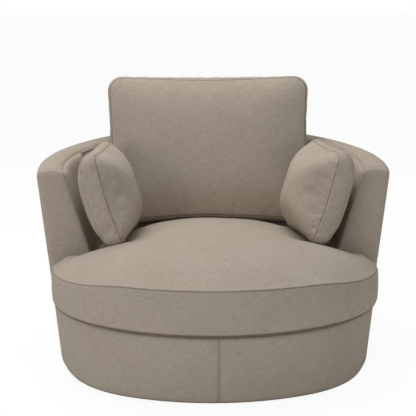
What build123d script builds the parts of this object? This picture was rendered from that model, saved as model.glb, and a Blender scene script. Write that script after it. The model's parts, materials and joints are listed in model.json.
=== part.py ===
from build123d import *
import os
from math import atan, atan2, cos, pi, radians, sin, sqrt

# Swivel lounge chair: a round upholstered tub that turns on a hidden plinth.
# The origin is on the floor, on the swivel axis. X runs across the chair,
# the front of the chair faces -Y, and Z is up. All lengths are millimetres.

# Outer wall of the tub: a rounded square at the floor that becomes a circle at the rim
rim_radius = 563.0
wall_flare = 69.0
base_half_size = rim_radius - wall_flare
base_bulge_share = 1.05
base_centre_y = -31.0
rim_centre_y = -2.0
rim_z = 650.0
skirt_z = 12.0
flat_arc_turn = 25.0

# Inner wall of the tub: a bowl that opens upwards
arm_top_width = 69.0
bowl_flare = 132.0
bowl_floor_y = 18.0
bowl_rim_y = 30.0
bowl_rim_radius = rim_radius - arm_top_width
bowl_floor_radius = bowl_rim_radius - bowl_flare

# Arms and deck
deck_z = 215.0
arm_front_y = -60.0
arm_top_z = 610.0
arm_slope_share = 0.06
cover_thickness = 6.0
pad_thickness = 14.0
band_thickness = 22.0
front_panel_thickness = 6.0
inside_seam_space = 132.0
fit_gap = 0.3
overrun = 20.0

# Floor plinth
glide_height = 6.0
glide_radius = 16.0
glide_count = 8
glide_edge = 14.0
plinth_radius = 300.0
board_thickness = 18.0

# Swivel bearing
plate_size = 300.0
plate_thickness = 3.0
race_radius = 120.0
race_width = 24.0
ball_radius = 4.0
ball_count = 24
ball_play = 0.05
race_gap = 4.0
race_depth = 4.0
cage_thickness = 1.6
cage_width = 18.0
cage_play = 0.2
king_radius = 8.0
king_flange_radius = 18.0
king_flange_thickness = 4.0
king_hole_radius = 22.0
bush_wall = 4.0
bush_flange_radius = 16.0
bush_flange_thickness = 1.5
bush_play = 0.05
washer_radius = 20.0
washer_thickness = 2.0
nut_flat_radius = 12.0
nut_height = 10.0
king_tip = 5.0
king_access_radius = 32.0
plate_screw_inset = 20.0
plate_screw_spacing = plate_size - plate_screw_inset * 2
screw_radius = 2.5
screw_head_radius = 5.0
screw_head_height = 2.0
screw_length = 14.0
bolt_radius = 4.0
bolt_head_radius = 8.0
bolt_head_height = 3.0
bolt_nut_radius = 6.5
bolt_nut_height = 6.5
bolt_tip = 3.0
hole_play = 0.05

# Frame of the tub
dust_thickness = 0.8
dust_inset = 6.0
dust_hole_radius = 226.0
skirt_board_thickness = 6.0
skirt_board_inset = 4.0
post_size = 38.0
post_count = 8
post_start_turn = 22.5
post_edge = 16.0
seat_ring_thickness = 18.0
seat_ring_width = 44.0
spring_rail_width = 44.0
spring_rail_height = 30.0
front_rail_y = -330.0
rear_rail_y = 262.0
spring_count = 5
spring_pitch_x = 104.0
spring_wire_radius = 1.8
spring_turn_radius = 13.0
spring_half_width = 24.0
clip_width = 20.0
clip_length = 20.0
clip_thickness = 2.0
deck_pad_thickness = 9.0
deck_cloth_thickness = 2.0
arm_frame_thickness = 18.0
rib_thickness = 18.0
rib_turns = (0.0, 35.0, 90.0, 145.0, 180.0)
top_rail_thickness = 18.0
strap_thickness = 2.0
strap_width = 60.0
strap_level_shares = (0.25, 0.5, 0.75)

# Seat cushion
seat_overhang = 33.0
ear_reach = 12.0
ear_radius = 54.0
ear_side = 26.0
ear_gap = 5.0
notch_radius = 12.0
shoulder_turn = 35.0
seat_wall_gap = 5.0
seat_seam_z = 358.0
seat_low_seam_z = 246.0
seat_tilt_share = 0.042
seat_crown = 92.0
seat_under_inset = 15.0
seat_crown_inset = 100.0
seat_ear_depth = 112.0
seat_core_half_width = 130.0
seat_core_half_depth = 100.0
seat_core_y = -110.0
seat_core_turn_shares = (0, 0.06, 0.1, 0.15, 0.2, 0.24, 0.27, 0.3, 0.33, 0.39, 0.45, 0.53, 0.62, 0.81)

# Back cushion
back_lean = 17.0
back_side_space = 158.0
back_rear_narrowing = 10.0
back_foot_narrowing = 44.0
back_half_height = 240.0
back_corner = 46.0
back_draw_in = 5.0
back_boxing = 128.0
back_crown = 36.0
back_rear_crown = 20.0
back_space = 197.5
back_seat_share = 0.812

# Side pillows
pillow_half_depth = 150.0
pillow_half_height = 148.0
pillow_corner = 34.0
pillow_draw_in = 5.0
pillow_boxing = 62.0
pillow_crown = 64.0
pillow_rear_crown = 36.0
pillow_lean = 17.0
pillow_turn_left = 8.0
pillow_turn_right = 10.0
pillow_space = 11.0
pillow_y = 6.0
pillow_seat_share_left = 0.533
pillow_seat_share_right = 0.519

# Crown of every cushion: how far in and how far up each step is
seat_edge_shares = ((0.18, 0.05), (0.48, 0.21), (1.0, 0.5))
seat_crown_shares = ((0.3, 0.74), (0.6, 0.9), (1.0, 1.0))
crown_shares = ((0.2, 0.42), (0.52, 0.8), (1.0, 1.0))
crown_core_share = 0.7

# Zips of the cushion covers
zip_thickness = 1.2
zip_width = 12.0
zip_length_share = 0.7
back_zip_share = 0.75
slider_length = 14.0
slider_thickness = 2.5

# Sizes that follow from the ones above
inside_back_y = bowl_floor_radius - inside_seam_space
seat_front_y = base_centre_y - base_half_size - seat_overhang
ear_half_width = bowl_rim_radius + ear_reach
back_half_width = bowl_rim_radius - back_side_space
back_rear_half_width = back_half_width - back_rear_narrowing
back_foot_half_width = back_half_width - back_foot_narrowing
back_front_y = bowl_floor_y + bowl_floor_radius - back_space
pillow_x = bowl_floor_radius - pillow_space
plinth_top = glide_height + board_thickness
lower_plate_top = plinth_top + plate_thickness
ball_z = lower_plate_top + race_depth + race_gap / 2
upper_plate_z = ball_z + race_gap / 2 + race_depth
upper_plate_top = upper_plate_z + plate_thickness
bottom_board_top = upper_plate_top + board_thickness
deck_pad_z = deck_z - deck_cloth_thickness - deck_pad_thickness
seat_ring_z = deck_pad_z - seat_ring_thickness
arm_slope = atan(arm_slope_share)
seam_rear_z = seat_seam_z - seat_tilt_share * (bowl_floor_y + bowl_floor_radius - seat_front_y)
cell_z = rim_z + overrun
quarter = 90.0
full_turn = 360.0


def blend(low, high, share):
    """Value a given share of the way from low to high."""
    return low + (high - low) * share


def polar(radius, turn):
    """Point at a radius and a turn in degrees from +X."""
    return (radius * cos(radians(turn)), radius * sin(radians(turn)))


def arc_wire(points, height):
    """Closed wire through corner and middle points in turn; height(x, y) gives each z."""
    solid_points = [Vector(x, y, height(x, y)) for x, y in points]
    edges = []
    for index in range(0, len(solid_points), 2):
        start = solid_points[index]
        middle = solid_points[index + 1]
        end = solid_points[(index + 2) % len(solid_points)]
        bend = (middle - start).cross(end - middle).length
        if bend < (end - start).length * fit_gap:
            edges.append(Edge.make_line(start, end))
        else:
            edges.append(Edge.make_three_point_arc(start, middle, end))
    return Wire(edges)


def level(z):
    """Height function of a flat section."""
    return lambda x, y: z


def wall_outline(z, inset):
    """Outer wall's section at a height: eight arcs, drawn in by the inset."""
    turn = radians(flat_arc_turn)
    step = cos(turn) - sin(turn)
    base_offset = (base_bulge_share - 1) * base_half_size / (step - (1 - sqrt(2) * sin(turn)))
    share = (z - skirt_z) / (rim_z - skirt_z)
    offset = blend(base_offset, 0, share)
    half_size = blend(base_half_size, rim_radius, share)
    centre_y = blend(base_centre_y, rim_centre_y, share)
    flat_radius = half_size + step * offset
    points = []
    for side in range(4):
        facing = side * quarter
        back_x, back_y = polar(flat_radius - half_size, facing)
        corner_x, corner_y = polar(offset, facing + flat_arc_turn)
        for spot in (-flat_arc_turn, 0, flat_arc_turn, quarter / 2):
            x, y = polar(flat_radius - inset, facing + spot)
            if spot == quarter / 2:
                x, y = polar(flat_radius - offset - inset, facing + spot)
                x, y = x + corner_x, y + corner_y
            points.append((x - back_x, y - back_y + centre_y))
    return points


def wall_solid(low, high, inset):
    """Solid inside the outer wall between two heights."""
    sections = [Face(arc_wire(wall_outline(z, inset), level(z))) for z in (low, high)]
    return loft(sections, ruled=True)


def bowl_size(z):
    """Radius and centre of the inner wall at a height."""
    share = (z - deck_z) / (rim_z - deck_z)
    radius = blend(bowl_floor_radius, bowl_rim_radius, share)
    return radius, blend(bowl_floor_y, bowl_rim_y, share)


def bowl_solid(low, high, grow):
    """Solid inside the inner wall between two heights, grown outwards."""
    sections = []
    for z in (low, high):
        radius, centre_y = bowl_size(z)
        sections.append(Pos(0, centre_y, z) * Circle(radius + grow).face())
    return loft(sections, ruled=True)


def arm_top_plane(depth):
    """Plane of the sloping arm top, set down by a depth."""
    origin = (0, arm_front_y, arm_top_z - depth)
    return Plane(origin=origin, z_dir=(0, -sin(arm_slope), cos(arm_slope)))


def below_arm_top(shape, depth):
    """The part of a shape that is under the arm top by at least a depth."""
    return split(shape, bisect_by=arm_top_plane(depth), keep=Keep.BOTTOM)


def above_arm_top(shape, depth):
    """The part of a shape that is over the plane set down by a depth."""
    return split(shape, bisect_by=arm_top_plane(depth), keep=Keep.TOP)


def behind(shape, y):
    """The part of a shape behind a plane across the chair."""
    return split(shape, bisect_by=Plane(origin=(0, y, 0), z_dir=(0, 1, 0)), keep=Keep.TOP)


def before(shape, y):
    """The part of a shape in front of a plane across the chair."""
    return split(shape, bisect_by=Plane(origin=(0, y, 0), z_dir=(0, 1, 0)), keep=Keep.BOTTOM)


def right_half(shape):
    """The part of a shape at +X."""
    return split(shape, bisect_by=Plane(origin=(0, 0, 0), z_dir=(1, 0, 0)), keep=Keep.TOP)


def left_half(shape):
    """The part of a shape at -X."""
    return split(shape, bisect_by=Plane(origin=(0, 0, 0), z_dir=(1, 0, 0)), keep=Keep.BOTTOM)


def shell_ring(outer_inset, inner_grow, low):
    """Space between the walls of the tub, from a height up past the rim."""
    outer = wall_solid(low, cell_z, outer_inset)
    return outer - bowl_solid(low - overrun, cell_z + overrun, inner_grow)


def disc(radius, low, high):
    """Round plate on the swivel axis between two heights."""
    return Pos(0, 0, low) * extrude(Circle(radius).face(), high - low)


def slab(size_x, size_y, low, high):
    """Rectangular plate on the swivel axis between two heights."""
    return Pos(0, 0, low) * extrude(Rectangle(size_x, size_y).face(), high - low)


def ring_spots(radius, count, start=0.0):
    """Points spread evenly on a circle round the swivel axis."""
    return [polar(radius, start + index * full_turn / count) for index in range(count)]


def corner_spots(spacing):
    """The four corners of a square round the swivel axis."""
    half = spacing / 2
    return [(x, y) for x in (-half, half) for y in (-half, half)]


def rods(spots, radius, low, high):
    """Upright rods, one at each spot."""
    return [Pos(x, y, 0) * disc(radius, low, high) for x, y in spots]


def write(node, shapes):
    """Write one node's solids to its own file."""
    parts = shapes if isinstance(shapes, list) else [shapes]
    solids = [solid for part in parts for solid in part.solids()]
    body = solids[0] if len(solids) == 1 else Compound(children=solids)
    export_step(body, f"parts/{node}.step")


def plinth():
    """Floor glides and the round board that they carry."""
    glide_spots = ring_spots(plinth_radius - glide_edge - glide_radius, glide_count)
    glides = rods(glide_spots, glide_radius, 0, glide_height)
    board = disc(plinth_radius, glide_height, plinth_top)
    board -= disc(king_hole_radius, glide_height - overrun, plinth_top + overrun)
    for hole in rods(corner_spots(plate_screw_spacing), screw_radius + hole_play,
                     lower_plate_top - screw_length, plinth_top + overrun):
        board -= hole
    write("plinth_glides", glides)
    write("plinth_board", board)


def race_groove():
    """Round groove in which the balls run."""
    return Pos(0, 0, ball_z) * Torus(race_radius, ball_radius + ball_play)


def race(low, high):
    """Raised ring of a swivel plate."""
    outer = disc(race_radius + race_width / 2, low, high)
    return outer - disc(race_radius - race_width / 2, low - overrun, high + overrun)


def lower_plate():
    """Plate that is screwed to the plinth, with its race, screws and king pin."""
    plate = slab(plate_size, plate_size, plinth_top, lower_plate_top)
    plate += race(lower_plate_top - plate_thickness / 2, lower_plate_top + race_depth)
    plate -= race_groove()
    plate -= disc(king_radius + hole_play, plinth_top - overrun, lower_plate_top + overrun)
    for hole in rods(corner_spots(plate_screw_spacing), screw_radius + hole_play,
                     plinth_top - overrun, lower_plate_top + overrun):
        plate -= hole
    write("swivel_lower_plate", plate)
    screws = []
    for x, y in corner_spots(plate_screw_spacing):
        screw = disc(screw_radius, lower_plate_top - screw_length, lower_plate_top)
        screw += disc(screw_head_radius, lower_plate_top, lower_plate_top + screw_head_height)
        screws.append(Pos(x, y, 0) * screw)
    write("lower_plate_screws", screws)


def king_pin():
    """Pin that holds the two plates together, with its washer, nut and bush."""
    bush_top = upper_plate_top + bush_flange_thickness
    washer_top = bush_top + washer_thickness
    nut_top = washer_top + nut_height
    pin = disc(king_flange_radius, plinth_top - king_flange_thickness, plinth_top)
    pin += disc(king_radius, plinth_top - king_flange_thickness, nut_top + king_tip)
    bore = disc(king_radius + bush_play, plinth_top, nut_top + overrun)
    write("king_pin", pin)
    bush = disc(king_radius + bush_wall, upper_plate_z, upper_plate_top)
    bush += disc(bush_flange_radius, upper_plate_top, bush_top)
    write("pivot_bush", bush - bore)
    write("king_washer", disc(washer_radius, bush_top, washer_top) - bore)
    hexagon = RegularPolygon(nut_flat_radius, 6, major_radius=False).face()
    nut = Pos(0, 0, washer_top) * extrude(hexagon, nut_height)
    write("king_nut", nut - bore)


def bearing():
    """Balls of the swivel and the cage that spaces them."""
    spots = ring_spots(race_radius, ball_count)
    balls = [Pos(x, y, ball_z) * Sphere(ball_radius) for x, y in spots]
    low = ball_z - cage_thickness / 2
    high = ball_z + cage_thickness / 2
    cage = disc(race_radius + cage_width / 2, low, high)
    cage -= disc(race_radius - cage_width / 2, low - overrun, high + overrun)
    for hole in rods(spots, ball_radius + cage_play, low - overrun, high + overrun):
        cage -= hole
    write("swivel_balls", balls)
    write("ball_cage", cage)


def upper_plate():
    """Plate that is bolted to the tub, with its bolts and nuts."""
    spots = corner_spots(plate_screw_spacing)
    plate = slab(plate_size, plate_size, upper_plate_z, upper_plate_top)
    plate += race(upper_plate_z - race_depth, upper_plate_z + plate_thickness / 2)
    plate -= race_groove()
    plate -= disc(king_radius + bush_wall + hole_play, upper_plate_z - overrun, upper_plate_top + overrun)
    for hole in rods(spots, bolt_radius + hole_play, upper_plate_z - overrun, upper_plate_top + overrun):
        plate -= hole
    write("swivel_upper_plate", plate)
    nut_top = bottom_board_top + bolt_nut_height
    bolts = []
    nuts = []
    for x, y in spots:
        bolt = disc(bolt_head_radius, upper_plate_z - bolt_head_height, upper_plate_z)
        bolt += disc(bolt_radius, upper_plate_z, nut_top + bolt_tip)
        bolts.append(Pos(x, y, 0) * bolt)
        hexagon = RegularPolygon(bolt_nut_radius, 6, major_radius=False).face()
        nut = Pos(0, 0, bottom_board_top) * extrude(hexagon, bolt_nut_height)
        nut -= disc(bolt_radius + hole_play, bottom_board_top - overrun, nut_top + overrun)
        nuts.append(Pos(x, y, 0) * nut)
    write("upper_plate_bolts", bolts)
    write("upper_plate_nuts", nuts)


def floor_boards():
    """Bottom board of the tub, the dust cover under it and the skirt board round it."""
    inset = cover_thickness + skirt_board_thickness
    outline = Face(arc_wire(wall_outline(upper_plate_top, cover_thickness + fit_gap), level(upper_plate_top)))
    board = extrude(outline, board_thickness)
    board -= disc(king_access_radius, upper_plate_top - overrun, bottom_board_top + overrun)
    for hole in rods(corner_spots(plate_screw_spacing), bolt_radius + hole_play,
                     upper_plate_top - overrun, bottom_board_top + overrun):
        board -= hole
    write("bottom_board", board)
    under = upper_plate_top - dust_thickness
    outline = Face(arc_wire(wall_outline(under, inset + dust_inset), level(under)))
    dust = extrude(outline, dust_thickness)
    dust -= disc(dust_hole_radius, under - overrun, upper_plate_top + overrun)
    write("dust_cover", dust)
    low = skirt_z + skirt_board_inset
    band = wall_solid(low, upper_plate_top, cover_thickness)
    band -= wall_solid(low - overrun, upper_plate_top + overrun, inset)
    write("skirt_board", band)


def base_frame():
    """Posts on the bottom board and the seat ring on top of them."""
    reach = base_half_size - cover_thickness - post_edge - post_size / 2
    posts = []
    for x, y in ring_spots(reach, post_count, post_start_turn):
        post = slab(post_size, post_size, bottom_board_top, seat_ring_z)
        posts.append(Pos(x, y + base_centre_y, 0) * post)
    write("base_posts", posts)
    ring = wall_solid(seat_ring_z, deck_pad_z, cover_thickness + fit_gap)
    opening_points = wall_outline(seat_ring_z, cover_thickness + seat_ring_width + post_edge)
    opening = Face(arc_wire(opening_points, level(seat_ring_z)))
    ring -= Pos(0, 0, -overrun) * extrude(opening, seat_ring_thickness + overrun * 2)
    write("seat_ring", ring)


def spring_rail(y):
    """Timber across the seat ring that holds one end of the springs."""
    inner = cover_thickness + seat_ring_width + post_edge + fit_gap
    outline = Face(arc_wire(wall_outline(seat_ring_z, inner), level(seat_ring_z)))
    top = seat_ring_z + seat_ring_thickness / 2
    inside = Pos(0, 0, top - spring_rail_height - seat_ring_z) * extrude(outline, spring_rail_height)
    bar = Pos(0, y, 0) * slab(rim_radius * 2, spring_rail_width, top - spring_rail_height, top)
    return bar & inside


def spring_path(x, z):
    """Flat zigzag of one sinuous spring, from rail to rail."""
    run = spring_half_width - spring_turn_radius
    pitch = spring_turn_radius * 2
    count = int((rear_rail_y - front_rail_y - clip_length) / pitch)
    first = (rear_rail_y + front_rail_y) / 2 - count * pitch / 2
    edges = [Edge.make_line((x - run, first, z), (x + run, first, z))]
    for index in range(count):
        side = 1 if index % 2 == 0 else -1
        y = first + index * pitch
        bottom = (x + side * run, y, z)
        middle = (x + side * (run + spring_turn_radius), y + spring_turn_radius, z)
        top = (x + side * run, y + pitch, z)
        edges.append(Edge.make_three_point_arc(bottom, middle, top))
        edges.append(Edge.make_line(top, (x - side * run, y + pitch, z)))
    return Wire(edges)


def seat_springs():
    """Sinuous springs, their clips and the two rails that carry them."""
    write("front_spring_rail", spring_rail(front_rail_y))
    write("rear_spring_rail", spring_rail(rear_rail_y))
    rail_top = seat_ring_z + seat_ring_thickness / 2
    wire_z = rail_top + clip_thickness + spring_wire_radius
    springs = []
    clips = []
    for index in range(spring_count):
        x = (index - (spring_count - 1) / 2) * spring_pitch_x
        path = spring_path(x, wire_z)
        start = path.position_at(0)
        section = Plane(origin=start, z_dir=path.tangent_at(0)) * Circle(spring_wire_radius).face()
        springs.append(sweep(section, path))
        for y in (path.position_at(0).Y, path.position_at(1).Y):
            clip_low = rail_top
            clip_high = wire_z + spring_wire_radius + clip_thickness
            clip = Pos(x, y, 0) * slab(clip_width, clip_length, clip_low, clip_high)
            channel = Pos(x, y, clip_low + clip_thickness - hole_play)
            inner = extrude(Rectangle(clip_width + overrun, spring_wire_radius * 2 + hole_play * 2).face(),
                            spring_wire_radius * 2 + hole_play * 2)
            clips.append(clip - channel * inner)
    write("seat_springs", springs)
    write("spring_clips", clips)


def deck_solid(low, high):
    """Plate that fills the tub's floor and the space in front of the arms."""
    inside = wall_solid(low, high, cover_thickness + fit_gap)
    front = before(inside, arm_front_y)
    rear = behind(inside, arm_front_y)
    radius, centre_y = bowl_size(deck_z)
    well = Pos(0, centre_y, low - overrun) * extrude(Circle(radius).face(), high - low + overrun * 2)
    return front + (rear & well)


def deck():
    """Pad and cloth that close the top of the springs."""
    cloth_z = deck_z - deck_cloth_thickness
    write("deck_pad", deck_solid(deck_pad_z, cloth_z))
    write("deck_cloth", deck_solid(cloth_z, deck_z))


def shell_frame():
    """Arm frames, ribs, top rail and webbing between the two walls."""
    outer = cover_thickness + fit_gap
    inner = pad_thickness + fit_gap
    frame_y = arm_front_y + front_panel_thickness
    rail_depth = band_thickness + top_rail_thickness
    rail = behind(shell_ring(outer, inner, deck_z), frame_y)
    write("top_rail", above_arm_top(below_arm_top(rail, band_thickness), rail_depth))
    lining = bowl_solid(deck_z, cell_z, inner + strap_thickness)
    lining -= bowl_solid(deck_z - overrun, cell_z + overrun, inner)
    straps = []
    for share in strap_level_shares:
        middle = blend(deck_z, arm_top_z, share)
        room = slab(rim_radius * 3, rim_radius * 3, middle - strap_width / 2, middle + strap_width / 2)
        straps.append(behind(lining & room, frame_y))
    write("webbing", straps)
    hollow = behind(shell_ring(outer, inner + strap_thickness, deck_z), frame_y)
    hollow = below_arm_top(hollow, rail_depth)
    frame = before(hollow, frame_y + arm_frame_thickness)
    write("arm_frame_left", left_half(frame))
    write("arm_frame_right", right_half(frame))
    ribs = []
    for turn in rib_turns:
        board = Pos(rim_radius, 0, 0) * slab(rim_radius * 2, rib_thickness, deck_z, cell_z)
        cut = hollow & (Pos(0, bowl_floor_y, 0) * Rot(0, 0, turn) * board)
        ribs.append(cut)
    write("shell_ribs", ribs)


def covers():
    """Outer covers, arm front panels, inside pads and the band on top."""
    wall = wall_solid(skirt_z, cell_z, 0)
    wall -= wall_solid(skirt_z - overrun, cell_z + overrun, cover_thickness)
    front_room = Pos(0, arm_front_y + front_panel_thickness - rim_radius, deck_z)
    wall -= front_room * extrude(Rectangle(rim_radius * 3, rim_radius * 2).face(), rim_z)
    wall = below_arm_top(wall, band_thickness)
    write("outer_cover_left", left_half(wall))
    write("outer_cover_right", right_half(wall))
    tub = behind(shell_ring(0, 0, deck_z), arm_front_y)
    write("arm_top_band", above_arm_top(below_arm_top(tub, 0), band_thickness))
    panel = below_arm_top(before(tub, arm_front_y + front_panel_thickness), band_thickness)
    write("arm_front_panel_left", left_half(panel))
    write("arm_front_panel_right", right_half(panel))
    pads = bowl_solid(deck_z, cell_z, pad_thickness) - bowl_solid(deck_z - overrun, cell_z + overrun, 0)
    pads = below_arm_top(behind(pads, arm_front_y + front_panel_thickness), band_thickness)
    arms = before(pads, inside_back_y)
    write("inside_pad_left", left_half(arms))
    write("inside_pad_right", right_half(arms))
    write("inside_pad_back", behind(pads, inside_back_y))


def seat_outline(z, inset):
    """T-shaped outline of the seat cushion at a height, drawn in, as corner and middle points."""
    radius, centre_y = bowl_size(z)
    radius -= seat_wall_gap + inset
    half_width = ear_half_width - inset
    foremost_y = seat_front_y + inset
    corner = ear_radius * (1 - inset / seat_ear_depth)
    notch = notch_radius + inset
    rear_y = arm_front_y - ear_gap - inset
    side_y = rear_y - corner - ear_side
    turn = radians(shoulder_turn)
    spread = (half_width - (side_y - foremost_y)) / (sin(turn) + cos(turn) - 1)
    shoulder = half_width - spread * sin(turn)
    front = shoulder + spread
    front_y = foremost_y + front
    notch_y = rear_y + notch
    notch_x = sqrt((radius + notch) ** 2 - (notch_y - centre_y) ** 2)
    tangent = atan2(notch_y - centre_y, notch_x)
    joint = (front * sin(turn), front_y - front * cos(turn))
    half_turn = (quarter + shoulder_turn) / 2
    shoulder_x = half_width - shoulder
    swing_x, swing_y = polar(shoulder, half_turn - quarter)
    shoulder_mid = (shoulder_x + swing_x, side_y + swing_y)
    ear_x = half_width - corner
    ear_y = rear_y - corner
    bite = (-quarter + tangent * full_turn / (2 * pi) - 2 * quarter) / 2
    right = [
        (0, foremost_y), (front * sin(turn / 2), front_y - front * cos(turn / 2)),
        joint, shoulder_mid,
        (half_width, side_y), (half_width, (side_y + ear_y) / 2),
        (half_width, ear_y), (ear_x + corner * cos(pi / 4), ear_y + corner * sin(pi / 4)),
        (ear_x, rear_y), ((ear_x + notch_x) / 2, rear_y),
        (notch_x, rear_y),
        (notch_x + notch * cos(radians(bite)), notch_y + notch * sin(radians(bite))),
        (radius * cos(tangent), centre_y + radius * sin(tangent)),
        (radius * cos(tangent / 2 + pi / 4), centre_y + radius * sin(tangent / 2 + pi / 4)),
    ]
    top = [(0, centre_y + radius)]
    left = [(-x, y) for x, y in reversed(right[1:])]
    return right + top + left


def seat_core():
    """Small oval on top of the seat cushion, with as many points as its outline."""
    right = []
    for share in seat_core_turn_shares:
        x, y = polar(1.0, 2 * quarter * share - quarter)
        right.append((seat_core_half_width * x, seat_core_y + seat_core_half_depth * y))
    top = [(0, seat_core_y + seat_core_half_depth)]
    left = [(-x, y) for x, y in reversed(right[1:])]
    return right + top + left


def morph(start, end, share):
    """Points a share of the way from one outline to another."""
    return [(blend(a, c, share), blend(b, d, share)) for (a, b), (c, d) in zip(start, end)]


def seat_seam(lift):
    """Height function of the tilted seam plane, raised by a lift."""
    return lambda x, y: seat_seam_z + lift - seat_tilt_share * (y - seat_front_y)


def seat_cushion():
    """T-shaped boxed seat cushion: flat below, crowned above, with its zip."""
    under = deck_z + fit_gap
    under_wire = arc_wire(seat_outline(under, seat_under_inset), level(under))
    low_wire = arc_wire(seat_outline(seat_low_seam_z, 0), level(seat_low_seam_z))
    seam_wire = arc_wire(seat_outline(seam_rear_z, 0), seat_seam(0))
    body = loft([Face(under_wire), Face(low_wire), Face(seam_wire)], ruled=True)
    core = seat_core()
    crown = [Face(seam_wire)]
    for inward_share, rise_share in seat_edge_shares:
        points = seat_outline(seam_rear_z, seat_crown_inset * inward_share)
        crown.append(Face(arc_wire(points, seat_seam(seat_crown * rise_share))))
    for inward_share, rise_share in seat_crown_shares:
        inner = morph(points, core, inward_share)
        crown.append(Face(arc_wire(inner, seat_seam(seat_crown * rise_share))))
    cushion = body + loft(crown, ruled=True)
    write("seat_cushion", cushion)
    middle_z = (seat_low_seam_z + seam_rear_z) / 2
    low = middle_z - zip_width / 2
    high = middle_z + zip_width / 2
    band = bowl_solid(low, high, zip_thickness - seat_wall_gap)
    band -= bowl_solid(low - overrun, high + overrun, -seat_wall_gap)
    write("seat_cushion_zip", behind(band - cushion, inside_back_y))


def box_outline(top_half, foot_half, half_height, corner, draw_in):
    """Outline of a boxed cushion: rounded corners, sides drawn in between them."""
    waist_half = (top_half + foot_half) / 2
    bend = corner * cos(pi / 4)
    points = []
    for turn, half in ((1, top_half), (-1, foot_half)):
        low = half_height - corner
        points.append([
            (turn * (corner - half), turn * half_height), (0, turn * (half_height - draw_in)),
            (turn * (half - corner), turn * half_height),
            (turn * (half - corner + bend), turn * (low + bend)),
            (turn * half, turn * low), (turn * (waist_half - draw_in), 0),
        ])
    upper, lower = points
    upper[5] = (waist_half - draw_in, 0)
    lower[5] = (draw_in - waist_half, 0)
    first = [(-top_half, half_height - corner), (-(top_half - corner + bend), half_height - corner + bend)]
    last = [(foot_half, corner - half_height), (foot_half - corner + bend, corner - half_height - bend)]
    ring = first + upper
    ring += last + [(foot_half - corner, -half_height), (0, draw_in - half_height),
                    (corner - foot_half, -half_height), (corner - foot_half - bend, corner - half_height - bend),
                    (-foot_half, corner - half_height), (draw_in - waist_half, 0)]
    return ring


def boxed_cushion(front, rear, boxing, front_crown, rear_crown):
    """Cushion between two outlines, crowned on both faces; +Z is its front."""
    middle = [(0, 0)] * len(front)
    body_faces = [Face(arc_wire(rear, level(-boxing / 2))), Face(arc_wire(front, level(boxing / 2)))]
    body = loft(body_faces, ruled=True)
    for points, crown, side in ((front, front_crown, 1), (rear, rear_crown, -1)):
        sections = [Face(arc_wire(points, level(side * boxing / 2)))]
        for inward_share, rise_share in crown_shares:
            smaller = morph(points, middle, inward_share * crown_core_share)
            sections.append(Face(arc_wire(smaller, level(side * (boxing / 2 + crown * rise_share)))))
        body += loft(sections)
    return body


def zip_strip(chord_half, half_height, draw_in):
    """Zip along the drawn-in lower side of a boxed cushion, with its slider at one end."""
    radius = (chord_half ** 2 + draw_in ** 2) / (draw_in * 2)
    centre_y = draw_in - half_height - radius
    length_half = chord_half * zip_length_share
    solids = []
    for start_x, end_x, depth in ((-length_half, length_half, zip_thickness),
                                  (length_half, length_half + slider_length, slider_thickness)):
        middle_x = (start_x + end_x) / 2
        outer, inner = [
            [(x, centre_y + sqrt(reach ** 2 - x ** 2)) for x in (start_x, middle_x, end_x)]
            for reach in (radius - hole_play, radius - depth)
        ]
        edges = [
            Edge.make_three_point_arc(*[Vector(x, y, 0) for x, y in outer]),
            Edge.make_line(Vector(*outer[2]), Vector(*inner[2])),
            Edge.make_three_point_arc(*[Vector(x, y, 0) for x, y in reversed(inner)]),
            Edge.make_line(Vector(*inner[0]), Vector(*outer[0])),
        ]
        solids.append(Pos(0, 0, -zip_width / 2) * extrude(Face(Wire(edges)), zip_width))
    return solids


def back_plane():
    """Plane of the back cushion: its middle, with the face towards the sitter."""
    lean = radians(back_lean)
    foot_z = seat_seam(seat_crown * back_seat_share)(0, back_front_y)
    reach = back_half_height
    depth = back_boxing / 2
    middle_y = back_front_y + reach * sin(lean) + depth * cos(lean)
    origin = (0, middle_y, foot_z + reach * cos(lean) - depth * sin(lean))
    return Plane(origin=origin, x_dir=(1, 0, 0), z_dir=(0, -cos(lean), sin(lean)))


def back_cushion():
    """Boxed back cushion that leans on the rim of the tub."""
    front = box_outline(back_half_width, back_half_width, back_half_height, back_corner, back_draw_in)
    rear = box_outline(back_rear_half_width, back_foot_half_width, back_half_height, back_corner, back_draw_in)
    cushion = boxed_cushion(front, rear, back_boxing, back_crown, back_rear_crown)
    write("back_cushion", back_plane() * cushion)
    chord = blend(back_foot_half_width, back_half_width, back_zip_share) - back_corner
    rearward = Pos(0, 0, back_boxing * (back_zip_share - 0.5))
    strip = zip_strip(chord, back_half_height, back_draw_in)
    write("back_cushion_zip", [back_plane() * (rearward * solid - cushion) for solid in strip])


def pillow_plane(side, turn, seat_share):
    """Plane of a side pillow: its middle, with the face towards the sitter."""
    lean = radians(pillow_lean)
    spin = radians(turn)
    face = (-side * cos(spin) * cos(lean), -sin(spin) * cos(lean), sin(lean))
    along = (sin(spin), -side * cos(spin), 0)
    seat_z = seat_seam(seat_crown * seat_share)(side * pillow_x, pillow_y)
    origin = (side * pillow_x, pillow_y, seat_z + pillow_half_height * cos(lean))
    return Plane(origin=origin, x_dir=along, z_dir=face)


def side_pillows():
    """Two boxed scatter pillows, one in each arm's corner."""
    outline = box_outline(pillow_half_depth, pillow_half_depth, pillow_half_height, pillow_corner, pillow_draw_in)
    cushion = boxed_cushion(outline, outline, pillow_boxing, pillow_crown, pillow_rear_crown)
    chord = pillow_half_depth - pillow_corner
    strip = zip_strip(chord, pillow_half_height, pillow_draw_in)
    for name, side, turn, seat_share in (("left", -1, pillow_turn_left, pillow_seat_share_left),
                                         ("right", 1, pillow_turn_right, pillow_seat_share_right)):
        place = pillow_plane(side, turn, seat_share)
        write(f"side_pillow_{name}", place * cushion)
        write(f"pillow_zip_{name}", [place * solid for solid in strip])


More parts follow.
